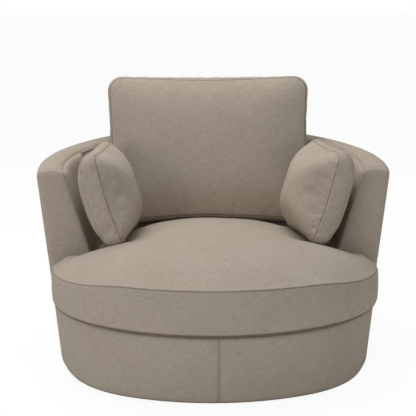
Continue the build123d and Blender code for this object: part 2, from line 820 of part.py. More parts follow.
if __name__ == "__main__":
    os.makedirs("parts", exist_ok=True)
    plinth()
    lower_plate()
    king_pin()
    bearing()
    upper_plate()
    floor_boards()
    base_frame()
    seat_springs()
    deck()
    shell_frame()
    covers()
    seat_cushion()
    back_cushion()
    side_pillows()
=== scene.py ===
"""Swivel lounge chair: its upholstery, cushions and studio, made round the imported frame."""

import json
import logging
import math
from dataclasses import dataclass, field
from enum import Enum
from typing import Callable, Optional

import bmesh
import bpy
import numpy as np
from mathutils import Matrix, Vector
from mathutils.bvhtree import BVHTree


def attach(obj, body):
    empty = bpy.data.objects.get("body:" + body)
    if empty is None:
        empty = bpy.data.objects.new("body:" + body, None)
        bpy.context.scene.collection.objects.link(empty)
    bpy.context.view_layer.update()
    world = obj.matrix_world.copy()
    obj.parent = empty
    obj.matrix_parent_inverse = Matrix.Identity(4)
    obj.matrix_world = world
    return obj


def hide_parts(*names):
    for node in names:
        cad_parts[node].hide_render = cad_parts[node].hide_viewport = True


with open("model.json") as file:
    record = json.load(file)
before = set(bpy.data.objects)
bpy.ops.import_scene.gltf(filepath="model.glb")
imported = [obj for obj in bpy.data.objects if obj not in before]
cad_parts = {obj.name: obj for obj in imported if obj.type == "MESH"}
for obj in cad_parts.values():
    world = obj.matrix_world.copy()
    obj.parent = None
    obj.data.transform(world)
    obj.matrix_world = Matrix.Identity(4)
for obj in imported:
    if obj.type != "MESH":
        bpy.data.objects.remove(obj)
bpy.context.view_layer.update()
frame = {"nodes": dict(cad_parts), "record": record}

LOG = logging.getLogger("lounge_chair")
MM = 0.001
QUARTER = 90.0

Place = Callable[[float, float], tuple]


def linear(hex_colour: str) -> tuple:
    """Turn an sRGB hex colour into linear RGBA.

    Args:
        hex_colour: six hex digits, with or without a leading mark.

    Returns:
        Red, green, blue and an alpha of one.
    """
    digits = hex_colour.lstrip("#")
    channels = []
    for start in (0, 2, 4):
        value = int(digits[start:start + 2], 16) / 255
        channels.append(value / 12.92 if value <= 0.04045 else ((value + 0.055) / 1.055) ** 2.4)
    return (*channels, 1.0)


def blend(low: float, high: float, share: float) -> float:
    """Return the value a share of the way from low to high."""
    return low + (high - low) * share


def roll(distance: float, radius: float) -> float:
    """Depth that a rolled edge has sunk at a distance from its seam."""
    if distance >= radius:
        return 0.0
    return radius - math.sqrt(max(radius ** 2 - (radius - distance) ** 2, 0.0))


def heading(turn: float) -> Vector:
    """Level unit vector at a turn in degrees from +X."""
    return Vector((math.cos(math.radians(turn)), math.sin(math.radians(turn)), 0.0))


class Finish:
    """A node material that is built one node at a time."""

    def __init__(self, name: str) -> None:
        """Start an empty material with a principled shader.

        Args:
            name: the material's name.
        """
        self.material = bpy.data.materials.new(name)
        self.material.use_nodes = True
        self.tree = self.material.node_tree
        self.shader = self.tree.nodes["Principled BSDF"]
        self.output = self.tree.nodes["Material Output"]

    def add(self, kind: str, settings: Optional[dict] = None, **inputs: object) -> bpy.types.Node:
        """Add one node with its settings and links.

        Args:
            kind: the node's type name.
            settings: attributes to set on the node.
            inputs: socket names, with spaces as underscores, to a value or a source socket.

        Returns:
            The new node.
        """
        node = self.tree.nodes.new(kind)
        for key, value in (settings or {}).items():
            setattr(node, key, value)
        for key, value in inputs.items():
            socket = node.inputs[int(key[1:])] if key[0] == "i" and key[1:].isdigit() else node.inputs[
                key.replace("_", " ")]
            if isinstance(value, bpy.types.NodeSocket):
                self.tree.links.new(value, socket)
            else:
                socket.default_value = value
        return node

    def link(self, source: bpy.types.NodeSocket, name: str) -> None:
        """Link a socket to one of the shader's inputs."""
        self.tree.links.new(source, self.shader.inputs[name])

    def stops(self, node: bpy.types.Node, *colours: tuple) -> None:
        """Set a colour ramp's stops, each a place and a colour."""
        ramp = node.color_ramp.elements
        while len(ramp) < len(colours):
            ramp.new(0.5)
        for element, (place, colour) in zip(ramp, colours):
            element.position = place
            element.color = colour


@dataclass(frozen=True)
class WovenLinen:
    """Linen-look polyester, plain woven from slubby heathered yarn: matt, soft, streaked both ways."""

    name: str = "woven_linen_taupe"
    base: str = "#b0a495"
    light: str = "#bbb0a2"
    dark: str = "#a39787"
    # Painted shade: this colour is multiplied into the cloth along the cushions' seams, standing in for the shadow
    # in the seam crease.
    seam_shade_colour: str = "#a89e94"
    thread_mm: float = 1.6
    slub_mm: float = 1.7
    slub_length_mm: float = 30.0
    fleck_mm: float = 2.2
    mottle_mm: float = 140.0
    roughness: float = 0.93

    def make(self) -> bpy.types.Material:
        """Build the cloth: its threads follow the piece's own map, which is in metres.

        Returns:
            The finished material.
        """
        cloth = Finish(self.name)
        across = 1 / (self.slub_mm * MM)
        along = 1 / (self.slub_length_mm * MM)
        spot = cloth.add("ShaderNodeTexCoord").outputs["UV"]
        streaks = []
        for scale in ((along, across, 1.0), (across, along, 1.0)):
            stretched = cloth.add("ShaderNodeMapping", Vector=spot, Scale=scale)
            streaks.append(cloth.add(
                "ShaderNodeTexNoise", {"noise_dimensions": "2D"}, Vector=stretched.outputs[0],
                Scale=1.0, Detail=2.0, Roughness=0.55).outputs["Fac"])
        fleck = cloth.add("ShaderNodeTexNoise", {"noise_dimensions": "2D"}, Vector=spot,
                          Scale=1 / (self.fleck_mm * MM), Detail=1.0).outputs["Fac"]
        mottle = cloth.add("ShaderNodeTexNoise", {"noise_dimensions": "2D"}, Vector=spot,
                           Scale=1 / (self.mottle_mm * MM), Detail=2.0).outputs["Fac"]
        pair = cloth.add("ShaderNodeMath", {"operation": "ADD"}, i0=streaks[0], i1=streaks[1])
        weft = cloth.add("ShaderNodeMath", {"operation": "MULTIPLY"}, i0=streaks[0], i1=0.4)
        half = cloth.add("ShaderNodeMath", {"operation": "MULTIPLY_ADD"}, i0=streaks[1], i1=0.32, i2=weft.outputs[0])
        flecked = cloth.add("ShaderNodeMath", {"operation": "MULTIPLY_ADD"}, i0=fleck, i1=0.18, i2=half.outputs[0])
        heather = cloth.add("ShaderNodeMath", {"operation": "MULTIPLY_ADD"}, i0=mottle, i1=0.1,
                            i2=flecked.outputs[0])
        ramp = cloth.add("ShaderNodeValToRGB", Fac=heather.outputs[0])
        cloth.stops(ramp, (0.36, linear(self.dark)), (0.5, linear(self.base)), (0.64, linear(self.light)))
        # Painted shade: the seam mask darkens the cloth towards the seam shade colour in the cushions' seam creases
        # and on the seat cushion's underside; panels without the mask read it as zero and stay as they are.
        tuck = cloth.add("ShaderNodeAttribute", {"attribute_name": "painted_seam_shade"}).outputs["Fac"]
        seam_shade_mask = cloth.add("ShaderNodeMath", {"operation": "POWER"}, i0=tuck, i1=3.0)
        shade = cloth.add("ShaderNodeMix", {"data_type": "RGBA", "blend_type": "MULTIPLY"})
        cloth.tree.links.new(seam_shade_mask.outputs[0], shade.inputs[0])
        cloth.tree.links.new(ramp.outputs[0], shade.inputs[6])
        shade.inputs[7].default_value = linear(self.seam_shade_colour)
        cloth.link(shade.outputs[2], "Base Color")
        threads = []
        for direction in ("X", "Y"):
            threads.append(cloth.add(
                "ShaderNodeTexWave", {"bands_direction": direction}, Vector=spot,
                Scale=math.pi / 10 / (self.thread_mm * MM), Distortion=0.6, Detail=1.0).outputs["Fac"])
        weave = cloth.add("ShaderNodeMath", {"operation": "MULTIPLY"}, i0=threads[0], i1=threads[1])
        raised = cloth.add("ShaderNodeMath", {"operation": "MULTIPLY_ADD"}, i0=pair.outputs[0], i1=1.4,
                           i2=weave.outputs[0])
        bump = cloth.add("ShaderNodeBump", Height=raised.outputs[0], Strength=0.35, Distance=0.6 * MM)
        cloth.link(bump.outputs[0], "Normal")
        cloth.shader.inputs["Roughness"].default_value = self.roughness
        cloth.shader.inputs["Sheen Weight"].default_value = 0.05
        cloth.shader.inputs["Sheen Roughness"].default_value = 0.5
        cloth.shader.inputs["Specular IOR Level"].default_value = 0.2
        return cloth.material


@dataclass(frozen=True)
class Sheet:
    """Plain cloth that no one sees from outside: lining, webbing or wadding."""

    name: str
    base: str
    dark: str
    pitch_mm: float
    woven: bool = True
    roughness: float = 0.95

    def make(self) -> bpy.types.Material:
        """Build the cloth on the piece's own coordinates."""
        cloth = Finish(self.name)
        spot = cloth.add("ShaderNodeTexCoord").outputs["Object"]
        spread = cloth.add("ShaderNodeTexNoise", Vector=spot, Scale=1 / (self.pitch_mm * MM), Detail=3.0)
        ramp = cloth.add("ShaderNodeValToRGB", Fac=spread.outputs["Fac"])
        cloth.stops(ramp, (0.3, linear(self.dark)), (0.7, linear(self.base)))
        cloth.link(ramp.outputs[0], "Base Color")
        height = spread.outputs["Fac"]
        if self.woven:
            ribs = [cloth.add("ShaderNodeTexWave", {"bands_direction": axis}, Vector=spot,
                              Scale=math.pi / 10 / (self.pitch_mm * MM)).outputs["Fac"] for axis in "XYZ"]
            first = cloth.add("ShaderNodeMath", {"operation": "ADD"}, i0=ribs[0], i1=ribs[1])
            height = cloth.add("ShaderNodeMath", {"operation": "ADD"}, i0=first.outputs[0], i1=ribs[2]).outputs[0]
        bump = cloth.add("ShaderNodeBump", Height=height, Strength=0.5, Distance=0.4 * MM)
        cloth.link(bump.outputs[0], "Normal")
        cloth.shader.inputs["Roughness"].default_value = self.roughness
        return cloth.material


@dataclass(frozen=True)
class Wood:
    """Sawn or peeled wood: long soft streaks along one axis, with plies on the edges of plywood."""

    name: str
    base: str
    dark: str
    streak_mm: tuple = (4.0, 90.0, 4.0)
    ply_mm: float = 0.0
    roughness: float = 0.62

    def make(self) -> bpy.types.Material:
        """Build the wood on the piece's own coordinates."""
        wood = Finish(self.name)
        spot = wood.add("ShaderNodeTexCoord").outputs["Object"]
        scale = tuple(1 / (size * MM) for size in self.streak_mm)
        along = wood.add("ShaderNodeMapping", Vector=spot, Scale=scale)
        streak = wood.add("ShaderNodeTexNoise", Vector=along.outputs[0], Scale=1.0, Detail=4.0, Distortion=0.4)
        shade = streak.outputs["Fac"]
        if self.ply_mm:
            plies = wood.add("ShaderNodeTexWave", {"bands_direction": "Z"}, Vector=spot,
                             Scale=math.pi / 10 / (2 * self.ply_mm * MM))
            normal = wood.add("ShaderNodeNewGeometry").outputs["Normal"]
            split = wood.add("ShaderNodeSeparateXYZ", Vector=normal)
            level = wood.add("ShaderNodeMath", {"operation": "ABSOLUTE"}, i0=split.outputs[2])
            edge = wood.add("ShaderNodeMath", {"operation": "LESS_THAN"}, i0=level.outputs[0], i1=0.5)
            share = wood.add("ShaderNodeMath", {"operation": "MULTIPLY"}, i0=edge.outputs[0], i1=0.6)
            mix = wood.add("ShaderNodeMix", Factor=share.outputs[0], A=shade, B=plies.outputs["Fac"])
            shade = mix.outputs[0]
        ramp = wood.add("ShaderNodeValToRGB", Fac=shade)
        wood.stops(ramp, (0.3, linear(self.dark)), (0.68, linear(self.base)))
        wood.link(ramp.outputs[0], "Base Color")
        bump = wood.add("ShaderNodeBump", Height=shade, Strength=0.2, Distance=0.3 * MM)
        wood.link(bump.outputs[0], "Normal")
        wood.shader.inputs["Roughness"].default_value = self.roughness
        return wood.material


@dataclass(frozen=True)
class Hard:
    """Metal or moulded plastic with a slightly uneven gloss."""

    name: str
    base: str
    roughness: float
    metallic: float = 0.0
    grain_mm: float = 1.5
    relief: float = 0.08

    def make(self) -> bpy.types.Material:
        """Build the surface on the piece's own coordinates."""
        hard = Finish(self.name)
        spot = hard.add("ShaderNodeTexCoord").outputs["Object"]
        grain = hard.add("ShaderNodeTexNoise", Vector=spot, Scale=1 / (self.grain_mm * MM), Detail=3.0)
        gloss = hard.add("ShaderNodeMapRange", Value=grain.outputs["Fac"])
        gloss.inputs["To Min"].default_value = self.roughness - 0.07
        gloss.inputs["To Max"].default_value = self.roughness + 0.07
        hard.link(gloss.outputs[0], "Roughness")
        bump = hard.add("ShaderNodeBump", Height=grain.outputs["Fac"], Strength=self.relief, Distance=0.1 * MM)
        hard.link(bump.outputs[0], "Normal")
        hard.shader.inputs["Base Color"].default_value = linear(self.base)
        hard.shader.inputs["Metallic"].default_value = self.metallic
        return hard.material


HIDDEN_FINISHES = {
    "zip": Hard("nylon_coil_zip_moulded", "#6b6256", 0.45, grain_mm=0.8, relief=0.4),
    "lining_cloth": Sheet("lining_spunbond_black", "#1d1d1e", "#101011", 0.9, woven=False),
    "webbing": Sheet("webbing_elastic_woven", "#8a7353", "#5f4c34", 1.6),
    "padding": Sheet("wadding_polyester_carded", "#e9e6dd", "#cfcabd", 3.0, woven=False),
    "glide": Hard("glide_nylon_moulded", "#1b1b1c", 0.5),
    "cage_plastic": Hard("cage_acetal_moulded", "#d9d3c4", 0.38),
    "bush": Hard("bush_acetal_turned", "#cfc8b8", 0.35),
    "plate_steel": Hard("plate_steel_powder_coated", "#232426", 0.48, grain_mm=0.6, relief=0.5),
    "ball_steel": Hard("ball_steel_polished", "#d8d8da", 0.12, 1.0, relief=0.0),
    "fastener": Hard("fastener_steel_zinc_plated", "#c9c6bb", 0.33, 1.0),
    "spring_steel": Hard("spring_steel_oiled_drawn", "#77787a", 0.36, 1.0),
    "plywood": Wood("plywood_birch_sanded", "#d9bd92", "#b08f61", ply_mm=1.5),
    "timber": Wood("timber_pine_planed", "#dcbf8f", "#b58c56", (3.0, 3.0, 80.0)),
}


def finish_mesh(name: str, shape: bmesh.types.BMesh) -> bpy.types.Object:
    """Turn a bmesh into a smooth object at the origin.

    Args:
        name: the new object's name.
        shape: the bmesh, which is freed.

    Returns:
        The new object, in the scene.
    """
    mesh = bpy.data.meshes.new(name)
    shape.to_mesh(mesh)
    shape.free()
    mesh.polygons.foreach_set("use_smooth", [True] * len(mesh.polygons))
    piece = bpy.data.objects.new(name, mesh)
    bpy.context.scene.collection.objects.link(piece)
    return piece


def add_modifier(piece: bpy.types.Object, kind: str, **settings: object) -> bpy.types.Modifier:
    """Add a modifier with its settings."""
    modifier = piece.modifiers.new(kind.title(), kind)
    for key, value in settings.items():
        setattr(modifier, key, value)
    return modifier


def panel(name: str, columns: int, rows: int, place: Place, facing: Vector,
          keep: Optional[Callable[[float, float], bool]] = None, thickness: float = 3 * MM) -> bpy.types.Object:
    """Make one upholstered panel from a grid that is laid on a surface.

    Args:
        name: the new object's name.
        columns: faces along the panel.
        rows: faces up the panel.
        place: gives a grid point's place and its map point, from two shares of the panel.
        facing: a direction on the outer side of the panel's first face.
        keep: says if the face at two shares stays.
        thickness: the cloth and wadding's thickness, laid inwards.

    Returns:
        The panel.
    """
    shape = bmesh.new()
    bmesh.ops.create_grid(shape, x_segments=columns, y_segments=rows, size=1.0)
    if keep is not None:
        spare = [face for face in shape.faces
                 if not keep(*[(value + 1) / 2 for value in face.calc_center_median()[:2]])]
        bmesh.ops.delete(shape, geom=spare, context="FACES")
    layer = shape.loops.layers.uv.new("cloth_metres")
    maps = {}
    for vertex in shape.verts:
        column = round((vertex.co.x + 1) / 2 * columns) / columns
        row = round((vertex.co.y + 1) / 2 * rows) / rows
        point, flat = place(column, row)
        vertex.co = point
        maps[vertex.index] = flat
    for face in shape.faces:
        for loop in face.loops:
            loop[layer].uv = maps[loop.vert.index]
    shape.normal_update()
    shape.faces.ensure_lookup_table()
    if shape.faces[0].normal.dot(facing) < 0:
        bmesh.ops.reverse_faces(shape, faces=shape.faces)
    piece = finish_mesh(name, shape)
    add_modifier(piece, "SOLIDIFY", thickness=thickness, offset=-1.0)
    return piece


@dataclass
class Tub:
    """The upholstered tub: outer covers, arm fronts, band on top and lining, in metres."""

    base_half_size: float = 494 * MM
    base_bulge_share: float = 1.05
    base_y: float = -31 * MM
    rim_radius: float = 563 * MM
    rim_y: float = -2 * MM
    rim_z: float = 650 * MM
    skirt_z: float = 12 * MM
    flat_turn: float = 25.0
    bowl_floor_radius: float = 362 * MM
    bowl_floor_y: float = 18 * MM
    bowl_rim_radius: float = 494 * MM
    bowl_rim_y: float = 30 * MM
    deck_z: float = 215 * MM
    front_y: float = -60 * MM
    arm_z: float = 610 * MM
    slope_share: float = 0.06
    outer_corner: float = 15 * MM
    inner_corner: float = 9 * MM
    band_corner: float = 15 * MM
    band_drop: float = 20 * MM
    band_crown: float = 5 * MM
    front_corner: float = 17 * MM
    mitre_share: float = 0.29
    liner_puff: float = 12 * MM
    liner_tuck: float = 4 * MM
    liner_drop: float = 11 * MM
    seam_roll: float = 3.5 * MM
    cloth: bpy.types.Material = field(default=None)

    def top_z(self, y: float) -> float:
        """Height of the sloping arm top at a depth."""
        return self.arm_z + self.slope_share * (y - self.front_y)

    def wall_sizes(self, z: float) -> tuple:
        """Half size, flat radius, corner offset and centre depth of the outer wall at a height."""
        turn = math.radians(self.flat_turn)
        step = math.cos(turn) - math.sin(turn)
        rise = (self.base_bulge_share - 1) * self.base_half_size
        base_offset = rise / (step - (1 - math.sqrt(2) * math.sin(turn)))
        share = (z - self.skirt_z) / (self.rim_z - self.skirt_z)
        offset = blend(base_offset, 0, share)
        half = blend(self.base_half_size, self.rim_radius, share)
        return half, half + step * offset, offset, blend(self.base_y, self.rim_y, share)

    def wall(self, turn: float, z: float, inset: float = 0.0) -> Vector:
        """Point of the outer wall.

        Args:
            turn: direction that the wall faces there, in degrees from +X.
            z: height.
            inset: how far inside the wall.

        Returns:
            The point.
        """
        half, flat, offset, centre_y = self.wall_sizes(z)
        side = round(turn / QUARTER) * QUARTER
        spread = turn - side
        if abs(spread) <= self.flat_turn:
            point = heading(turn) * (flat - inset) - heading(side) * (flat - half)
        else:
            swing = side + math.copysign(self.flat_turn, spread)
            point = heading(swing) * offset + heading(turn) * (flat - offset - inset) - heading(side) * (flat - half)
        return point + Vector((0, centre_y, z))

    def bowl(self, turn: float, z: float, grow: float = 0.0) -> Vector:
        """Point of the inner wall, with a growth outwards."""
        share = (z - self.deck_z) / (self.rim_z - self.deck_z)
        radius = blend(self.bowl_floor_radius, self.bowl_rim_radius, share) + grow
        return heading(turn) * radius + Vector((0, blend(self.bowl_floor_y, self.bowl_rim_y, share), z))

    def wall_start(self, z: float, y: float) -> float:
        """Turn at which the outer wall's right side passes a depth."""
        _, flat, _, centre_y = self.wall_sizes(z)
        return math.degrees(math.asin((y - centre_y) / flat))

    def bowl_start(self, z: float, y: float) -> float:
        """Turn at which the inner wall's right side passes a depth."""
        share = (z - self.deck_z) / (self.rim_z - self.deck_z)
        radius = blend(self.bowl_floor_radius, self.bowl_rim_radius, share)
        return math.degrees(math.asin((y - blend(self.bowl_floor_y, self.bowl_rim_y, share)) / radius))

    def dress(self, piece: bpy.types.Object, *nodes: str) -> bpy.types.Object:
        """Give a panel its cloth and let it stand for its solids."""
        piece.data.materials.append(self.cloth)
        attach(piece, "chair")
        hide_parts(*nodes)
        LOG.info("made %s", piece.name)
        return piece

    def outer_cover(self, name: str, side: int) -> bpy.types.Object:
        """Outer cover of one half, from the front seam round to the back seam.

        Args:
            name: which half.
            side: -1 for the left half and 1 for the right half.

        Returns:
            The cover.
        """
        front_share = 0.5
        deck_share = 0.36
        front_seam = 0.5 * MM
        back_seam = 1.5 * MM

        def place(column: float, row: float) -> tuple:
            y_edge = self.front_y + self.outer_corner
            if row <= deck_share:
                z = blend(self.skirt_z, self.deck_z - 1 * MM, row / deck_share)
            else:
                z = self.deck_z
            start = self.wall_start(max(z, self.deck_z), y_edge)
            if column <= front_share:
                turn = blend(-QUARTER, start, column / front_share)
            else:
                turn = blend(start, QUARTER, (column - front_share) / (1 - front_share))
            if row > deck_share:
                guess = self.wall(turn, self.arm_z)
                top = self.top_z(guess.y) - self.band_drop
                z = blend(self.deck_z, top, (row - deck_share) / (1 - deck_share))
                start = self.wall_start(z, y_edge)
                turn = blend(start, QUARTER, max(column - front_share, 0) / (1 - front_share))
            plain = self.wall(turn, z)
            arc = self.rim_radius * math.radians(QUARTER - abs(turn))
            depth = roll(abs(plain.x), front_seam if turn < 0 else back_seam)
            depth += roll(z - self.skirt_z, self.seam_roll)
            if row > deck_share:
                depth += roll(top - z, self.seam_roll)
                depth += roll(max(plain.y - y_edge, 0.0), self.seam_roll)
            elif column < front_share:
                depth += roll(self.deck_z - z, 9 * MM)
            point = self.wall(turn, z, min(depth, 9 * MM))
            point.x *= side
            return point, (math.copysign(arc, turn) + side * 3, z)

        def keep(column: float, row: float) -> bool:
            return column > front_share or row < deck_share

        cover = panel(f"outer_cover_{name}_cloth", 120, 64, place, Vector((side, -1, 0)), keep)
        return self.dress(cover, f"outer_cover_{name}")

    def band_rise(self, over: float, width: float) -> float:
        """Height of the band's top over its plane at a distance across from the inner wall."""
        edge = min(over, width - over)
        if edge >= self.band_corner:
            share = (over - self.band_corner) / (width - 2 * self.band_corner)
            return self.band_crown * (1 - (2 * share - 1) ** 2)
        return -roll(max(edge, 0.0), self.band_corner)

    def front_sink(self, distance: float) -> float:
        """How far one side of the rounded front edge has turned in, at a distance from the other side."""
        return roll(distance, self.front_corner)

    def arm_front(self, name: str, side: int) -> bpy.types.Object:
        """Front panel of one arm, which wraps round both upright corners.

        Args:
            name: which arm.
            side: -1 for the left arm and 1 for the right arm.

        Returns:
            The panel.
        """
        low = self.deck_z - 6 * MM
        plane = self.top_z(self.front_y)
        tuck_in = self.front_corner * self.mitre_share
        puff = 4 * MM

        def place(column: float, row: float) -> tuple:
            z = blend(low, plane - tuck_in, row)
            inside = self.bowl(self.bowl_start(z, self.front_y), z).x
            outside = self.wall(self.wall_start(z, self.front_y), z).x
            inner_arc = self.inner_corner * math.pi / 2
            outer_arc = self.outer_corner * math.pi / 2
            flat = outside - inside - self.inner_corner - self.outer_corner
            along = column * (inner_arc + flat + outer_arc)
            if along < inner_arc:
                swing = along / self.inner_corner
                x = inside + self.inner_corner * (1 - math.cos(swing))
                y = self.front_y + self.inner_corner * (1 - math.sin(swing))
            elif along < inner_arc + flat:
                x = inside + self.inner_corner + along - inner_arc
                y = self.front_y
            else:
                swing = (along - inner_arc - flat) / self.outer_corner
                x = outside - self.outer_corner * (1 - math.sin(swing))
                y = self.front_y + self.outer_corner * (1 - math.cos(swing))
            corner = self.inner_corner if column < 0.5 else self.outer_corner
            wrap = min((y - self.front_y) / corner, 1) ** 5
            top = plane + self.band_rise(x - inside, outside - inside) - (self.band_drop - self.band_corner) * wrap
            z = blend(low, top - tuck_in, row)
            bulge = puff * (1 - (2 * column - 1) ** 4) * (1 - (2 * row - 1) ** 6)
            depth = self.front_sink(top - z) + roll(top - tuck_in - z, 2 * MM)
            seam = min(along, inner_arc + flat + outer_arc - along)
            tuck = roll(seam, self.seam_roll)
            x += tuck * (1 if column < 0.5 else -1)
            return Vector((side * x, y - bulge + depth, z)), (x + 5 + side, z)

        cover = panel(f"arm_front_{name}_cloth", 36, 60, place, Vector((0, -1, 0)))
        return self.dress(cover, f"arm_front_panel_{name}")

    def band_section(self, width: float) -> list:
        """Section of the band: how far across from the inner wall and how far up, in order."""
        corner = self.band_corner
        lean_in = (self.bowl_rim_radius - self.bowl_floor_radius) / (self.rim_z - self.deck_z)
        lean_out = (self.rim_radius - self.base_half_size) / (self.rim_z - self.skirt_z)
        points = [(self.seam_roll - lean_in * self.band_drop, -self.band_drop),
                  (-lean_in * self.band_drop, self.seam_roll - self.band_drop)]
        for step in range(5):
            swing = math.pi / 2 * step / 4
            points.append((corner * (1 - math.cos(swing)) - lean_in * corner * (1 - math.sin(swing)),
                           corner * (math.sin(swing) - 1)))
        flat = width - corner * 2
        for step in range(1, 8):
            share = step / 8
            points.append((corner + flat * share, self.band_crown * (1 - (2 * share - 1) ** 2)))
        for step in range(5):
            swing = math.pi / 2 * step / 4
            points.append((width - corner * (1 - math.sin(swing)) - lean_out * corner * (1 - math.cos(swing)),
                           corner * (math.cos(swing) - 1)))
        points.append((width - lean_out * self.band_drop, self.seam_roll - self.band_drop))
        points.append((width - self.seam_roll - lean_out * self.band_drop, -self.band_drop))
        return points

    def top_band(self) -> bpy.types.Object:
        """Padded band along both arms and the back, in one strip."""
        count = len(self.band_section(1.0)) - 1
        tuck_in = self.front_corner * self.mitre_share
        end_y = self.front_y + tuck_in

        def place(column: float, row: float) -> tuple:
            swing = blend(-1, 1, column)
            start_in = self.bowl_start(self.arm_z, end_y)
            start_out = self.wall_start(self.arm_z, end_y)
            turn_in = QUARTER + swing * (QUARTER - start_in)
            turn_out = QUARTER + swing * (QUARTER - start_out)
            inner = self.bowl(turn_in, self.arm_z)
            inner = self.bowl(turn_in, self.top_z(inner.y))
            outer = self.wall(turn_out, self.arm_z) if turn_out <= 135 + QUARTER else Vector()
            outer = self.wall(turn_out, self.top_z(outer.y))
            across = outer - inner
            level_across = Vector((across.x, across.y, 0))
            width = level_across.length
            over, up = self.band_section(width)[round(row * count)]
            run = min(column, 1 - column) * math.pi * self.rim_radius
            sink = self.front_sink(run + tuck_in) + roll(run, 2 * MM)
            point = inner + level_across.normalized() * over
            point.z = blend(inner.z, outer.z, min(max(over / width, 0), 1)) + up
            point.z -= sink
            edge, corner = (over, self.inner_corner) if over < width / 2 else (width - over, self.outer_corner)
            back = roll(max(edge, 0.0), corner) * (1 - tuck_in / corner)
            point.y += back * max(1 - run / (40 * MM), 0) ** 2
            return point, (column * math.pi * self.rim_radius, over + 7)

        band = panel("arm_top_band_cloth", 360, count, place, Vector((0, 0, -1)))
        return self.dress(band, "arm_top_band")

    def lining(self, name: str, low_turn: Optional[float], high_turn: Optional[float]) -> bpy.types.Object:
        """Inside pad between two turns, from the deck up to the band.

        Args:
            name: which pad.
            low_turn: where it starts, in degrees from +X; none where it tucks under the right arm's front.
            high_turn: where it ends; none where it tucks under the left arm's front.

        Returns:
            The pad.
        """
        on_arm = low_turn is None or high_turn is None

        def place(column: float, row: float) -> tuple:
            z = blend(self.deck_z, self.arm_z, row)
            for _ in range(2):
                start = self.bowl_start(z, self.front_y + self.liner_tuck)
                low = start if low_turn is None else low_turn
                high = 180 - start if high_turn is None else high_turn
                turn = blend(low, high, column)
                top = self.top_z(self.bowl(turn, self.arm_z).y) - (self.liner_drop if on_arm else self.band_drop - 3 * MM)
                z = blend(self.deck_z + 0.5 * MM, top, row)
            run = math.radians(min(turn - low, high - turn)) * self.bowl_floor_radius
            depth = min(max(roll(run, 5 * MM), roll(top - z, self.seam_roll)), 5 * MM)
            if on_arm:
                full = min(run / (34 * MM), 1)
                full = full * full * (3 - 2 * full) * min(max(z - 0.25, 0) / 0.1, 1)
                round_top = math.sqrt(1 - (1 - min((top - z) / (24 * MM), 1)) ** 2)
                depth -= self.liner_puff * round_top * full
            return self.bowl(turn, z, depth), (math.radians(turn) * self.bowl_rim_radius, z + 9)

        middle = -heading(blend(low_turn or 0.0, high_turn or 180.0, 0.5))
        pad = panel(f"inside_pad_{name}_cloth", 72, 48, place, middle)
        return self.dress(pad, f"inside_pad_{name}")

    def seam_tape(self, name: str, side: int) -> bpy.types.Object:
        """Tape sewn behind the corner where the band, the arm front and the outer cover meet.

        Args:
            name: which arm.
            side: -1 for the left arm and 1 for the right arm.

        Returns:
            The tape.
        """
        inset = 5.5 * MM
        back_y = self.front_y + 45 * MM
        near_y = self.front_y + inset

        def place(column: float, row: float) -> tuple:
            z = blend(self.arm_z - 36 * MM, self.arm_z - 8 * MM, row)
            if column < 0.3:
                y = blend(back_y, near_y, column / 0.3)
                x = self.bowl(self.bowl_start(z, y), z, inset).x
            elif column > 0.7:
                y = blend(near_y, back_y, (column - 0.7) / 0.3)
                x = self.wall(self.wall_start(z, y), z, inset).x
            else:
                y = near_y
                inside = self.bowl(self.bowl_start(z, y), z, inset).x
                outside = self.wall(self.wall_start(z, y), z, inset).x
                x = blend(inside, outside, (column - 0.3) / 0.4)
            return Vector((side * x, y, z)), (column * 0.2, z)

        tape = panel(f"arm_seam_tape_{name}", 20, 4, place, Vector((-side, -1, 0)), thickness=1 * MM)
        shape = bmesh.new()
        shape.from_mesh(tape.data)
        tuck_y = self.front_y + self.outer_corner
        tuck_z = self.arm_z - self.band_drop - 3.5 * MM
        tuck_x = self.wall(self.wall_start(tuck_z, tuck_y), tuck_z, 4.5 * MM).x
        bmesh.ops.create_icosphere(shape, subdivisions=2, radius=5.5 * MM,
                                   matrix=Matrix.Translation((side * tuck_x, tuck_y, tuck_z)))
        shape.to_mesh(tape.data)
        shape.free()
        tape.data.polygons.foreach_set("use_smooth", [True] * len(tape.data.polygons))
        tape.modifiers.clear()
        tape.data.materials.append(self.cloth)
        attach(tape, "chair")
        return tape

    def build(self) -> list:
        """Make every panel of the tub.

        Returns:
            The panels that the cushions may lean on.
        """
        for name, side in (("left", -1), ("right", 1)):
            self.outer_cover(name, side)
            self.arm_front(name, side)
            self.seam_tape(name, side)
        leaned_on = [self.top_band()]
        split = 26.0
        leaned_on.append(self.lining("right", None, split))
        leaned_on.append(self.lining("back", split, 180 - split))
        leaned_on.append(self.lining("left", 180 - split, None))
        return leaned_on


@dataclass
class Outline:
    """Closed outline of a cushion, read by a share of one side of a square."""

    points: list
    corners: tuple

    def __post_init__(self) -> None:
        """Work out how far along the outline each point lies."""
        self.count = len(self.points)
        self.reach = [0.0]
        for index in range(self.count):
            step = (self.points[(index + 1) % self.count] - self.points[index]).length
            self.reach.append(self.reach[-1] + step)

    def at(self, distance: float) -> Vector:
        """Point at a distance along the outline."""
        distance %= self.reach[-1]
        low, high = 0, self.count
        while high - low > 1:
            middle = (low + high) // 2
            if self.reach[middle] <= distance:
                low = middle
            else:
                high = middle
        span = self.reach[low + 1] - self.reach[low]
        share = (distance - self.reach[low]) / span if span else 0.0
        return self.points[low].lerp(self.points[(low + 1) % self.count], share)

    def run(self, u: float, v: float) -> float:
        """Distance along the outline of a point on the unit square's edge."""
        if v <= -1 + 1e-6:
            side, share = 0, (u + 1) / 2
        elif u >= 1 - 1e-6:
            side, share = 1, (v + 1) / 2
        elif v >= 1 - 1e-6:
            side, share = 2, (1 - u) / 2
        else:
            side, share = 3, (1 - v) / 2
        start = self.reach[self.corners[side]]
        end = self.reach[self.corners[(side + 1) % 4]]
        if end <= start:
            end += self.reach[-1]
        return start + (end - start) * share


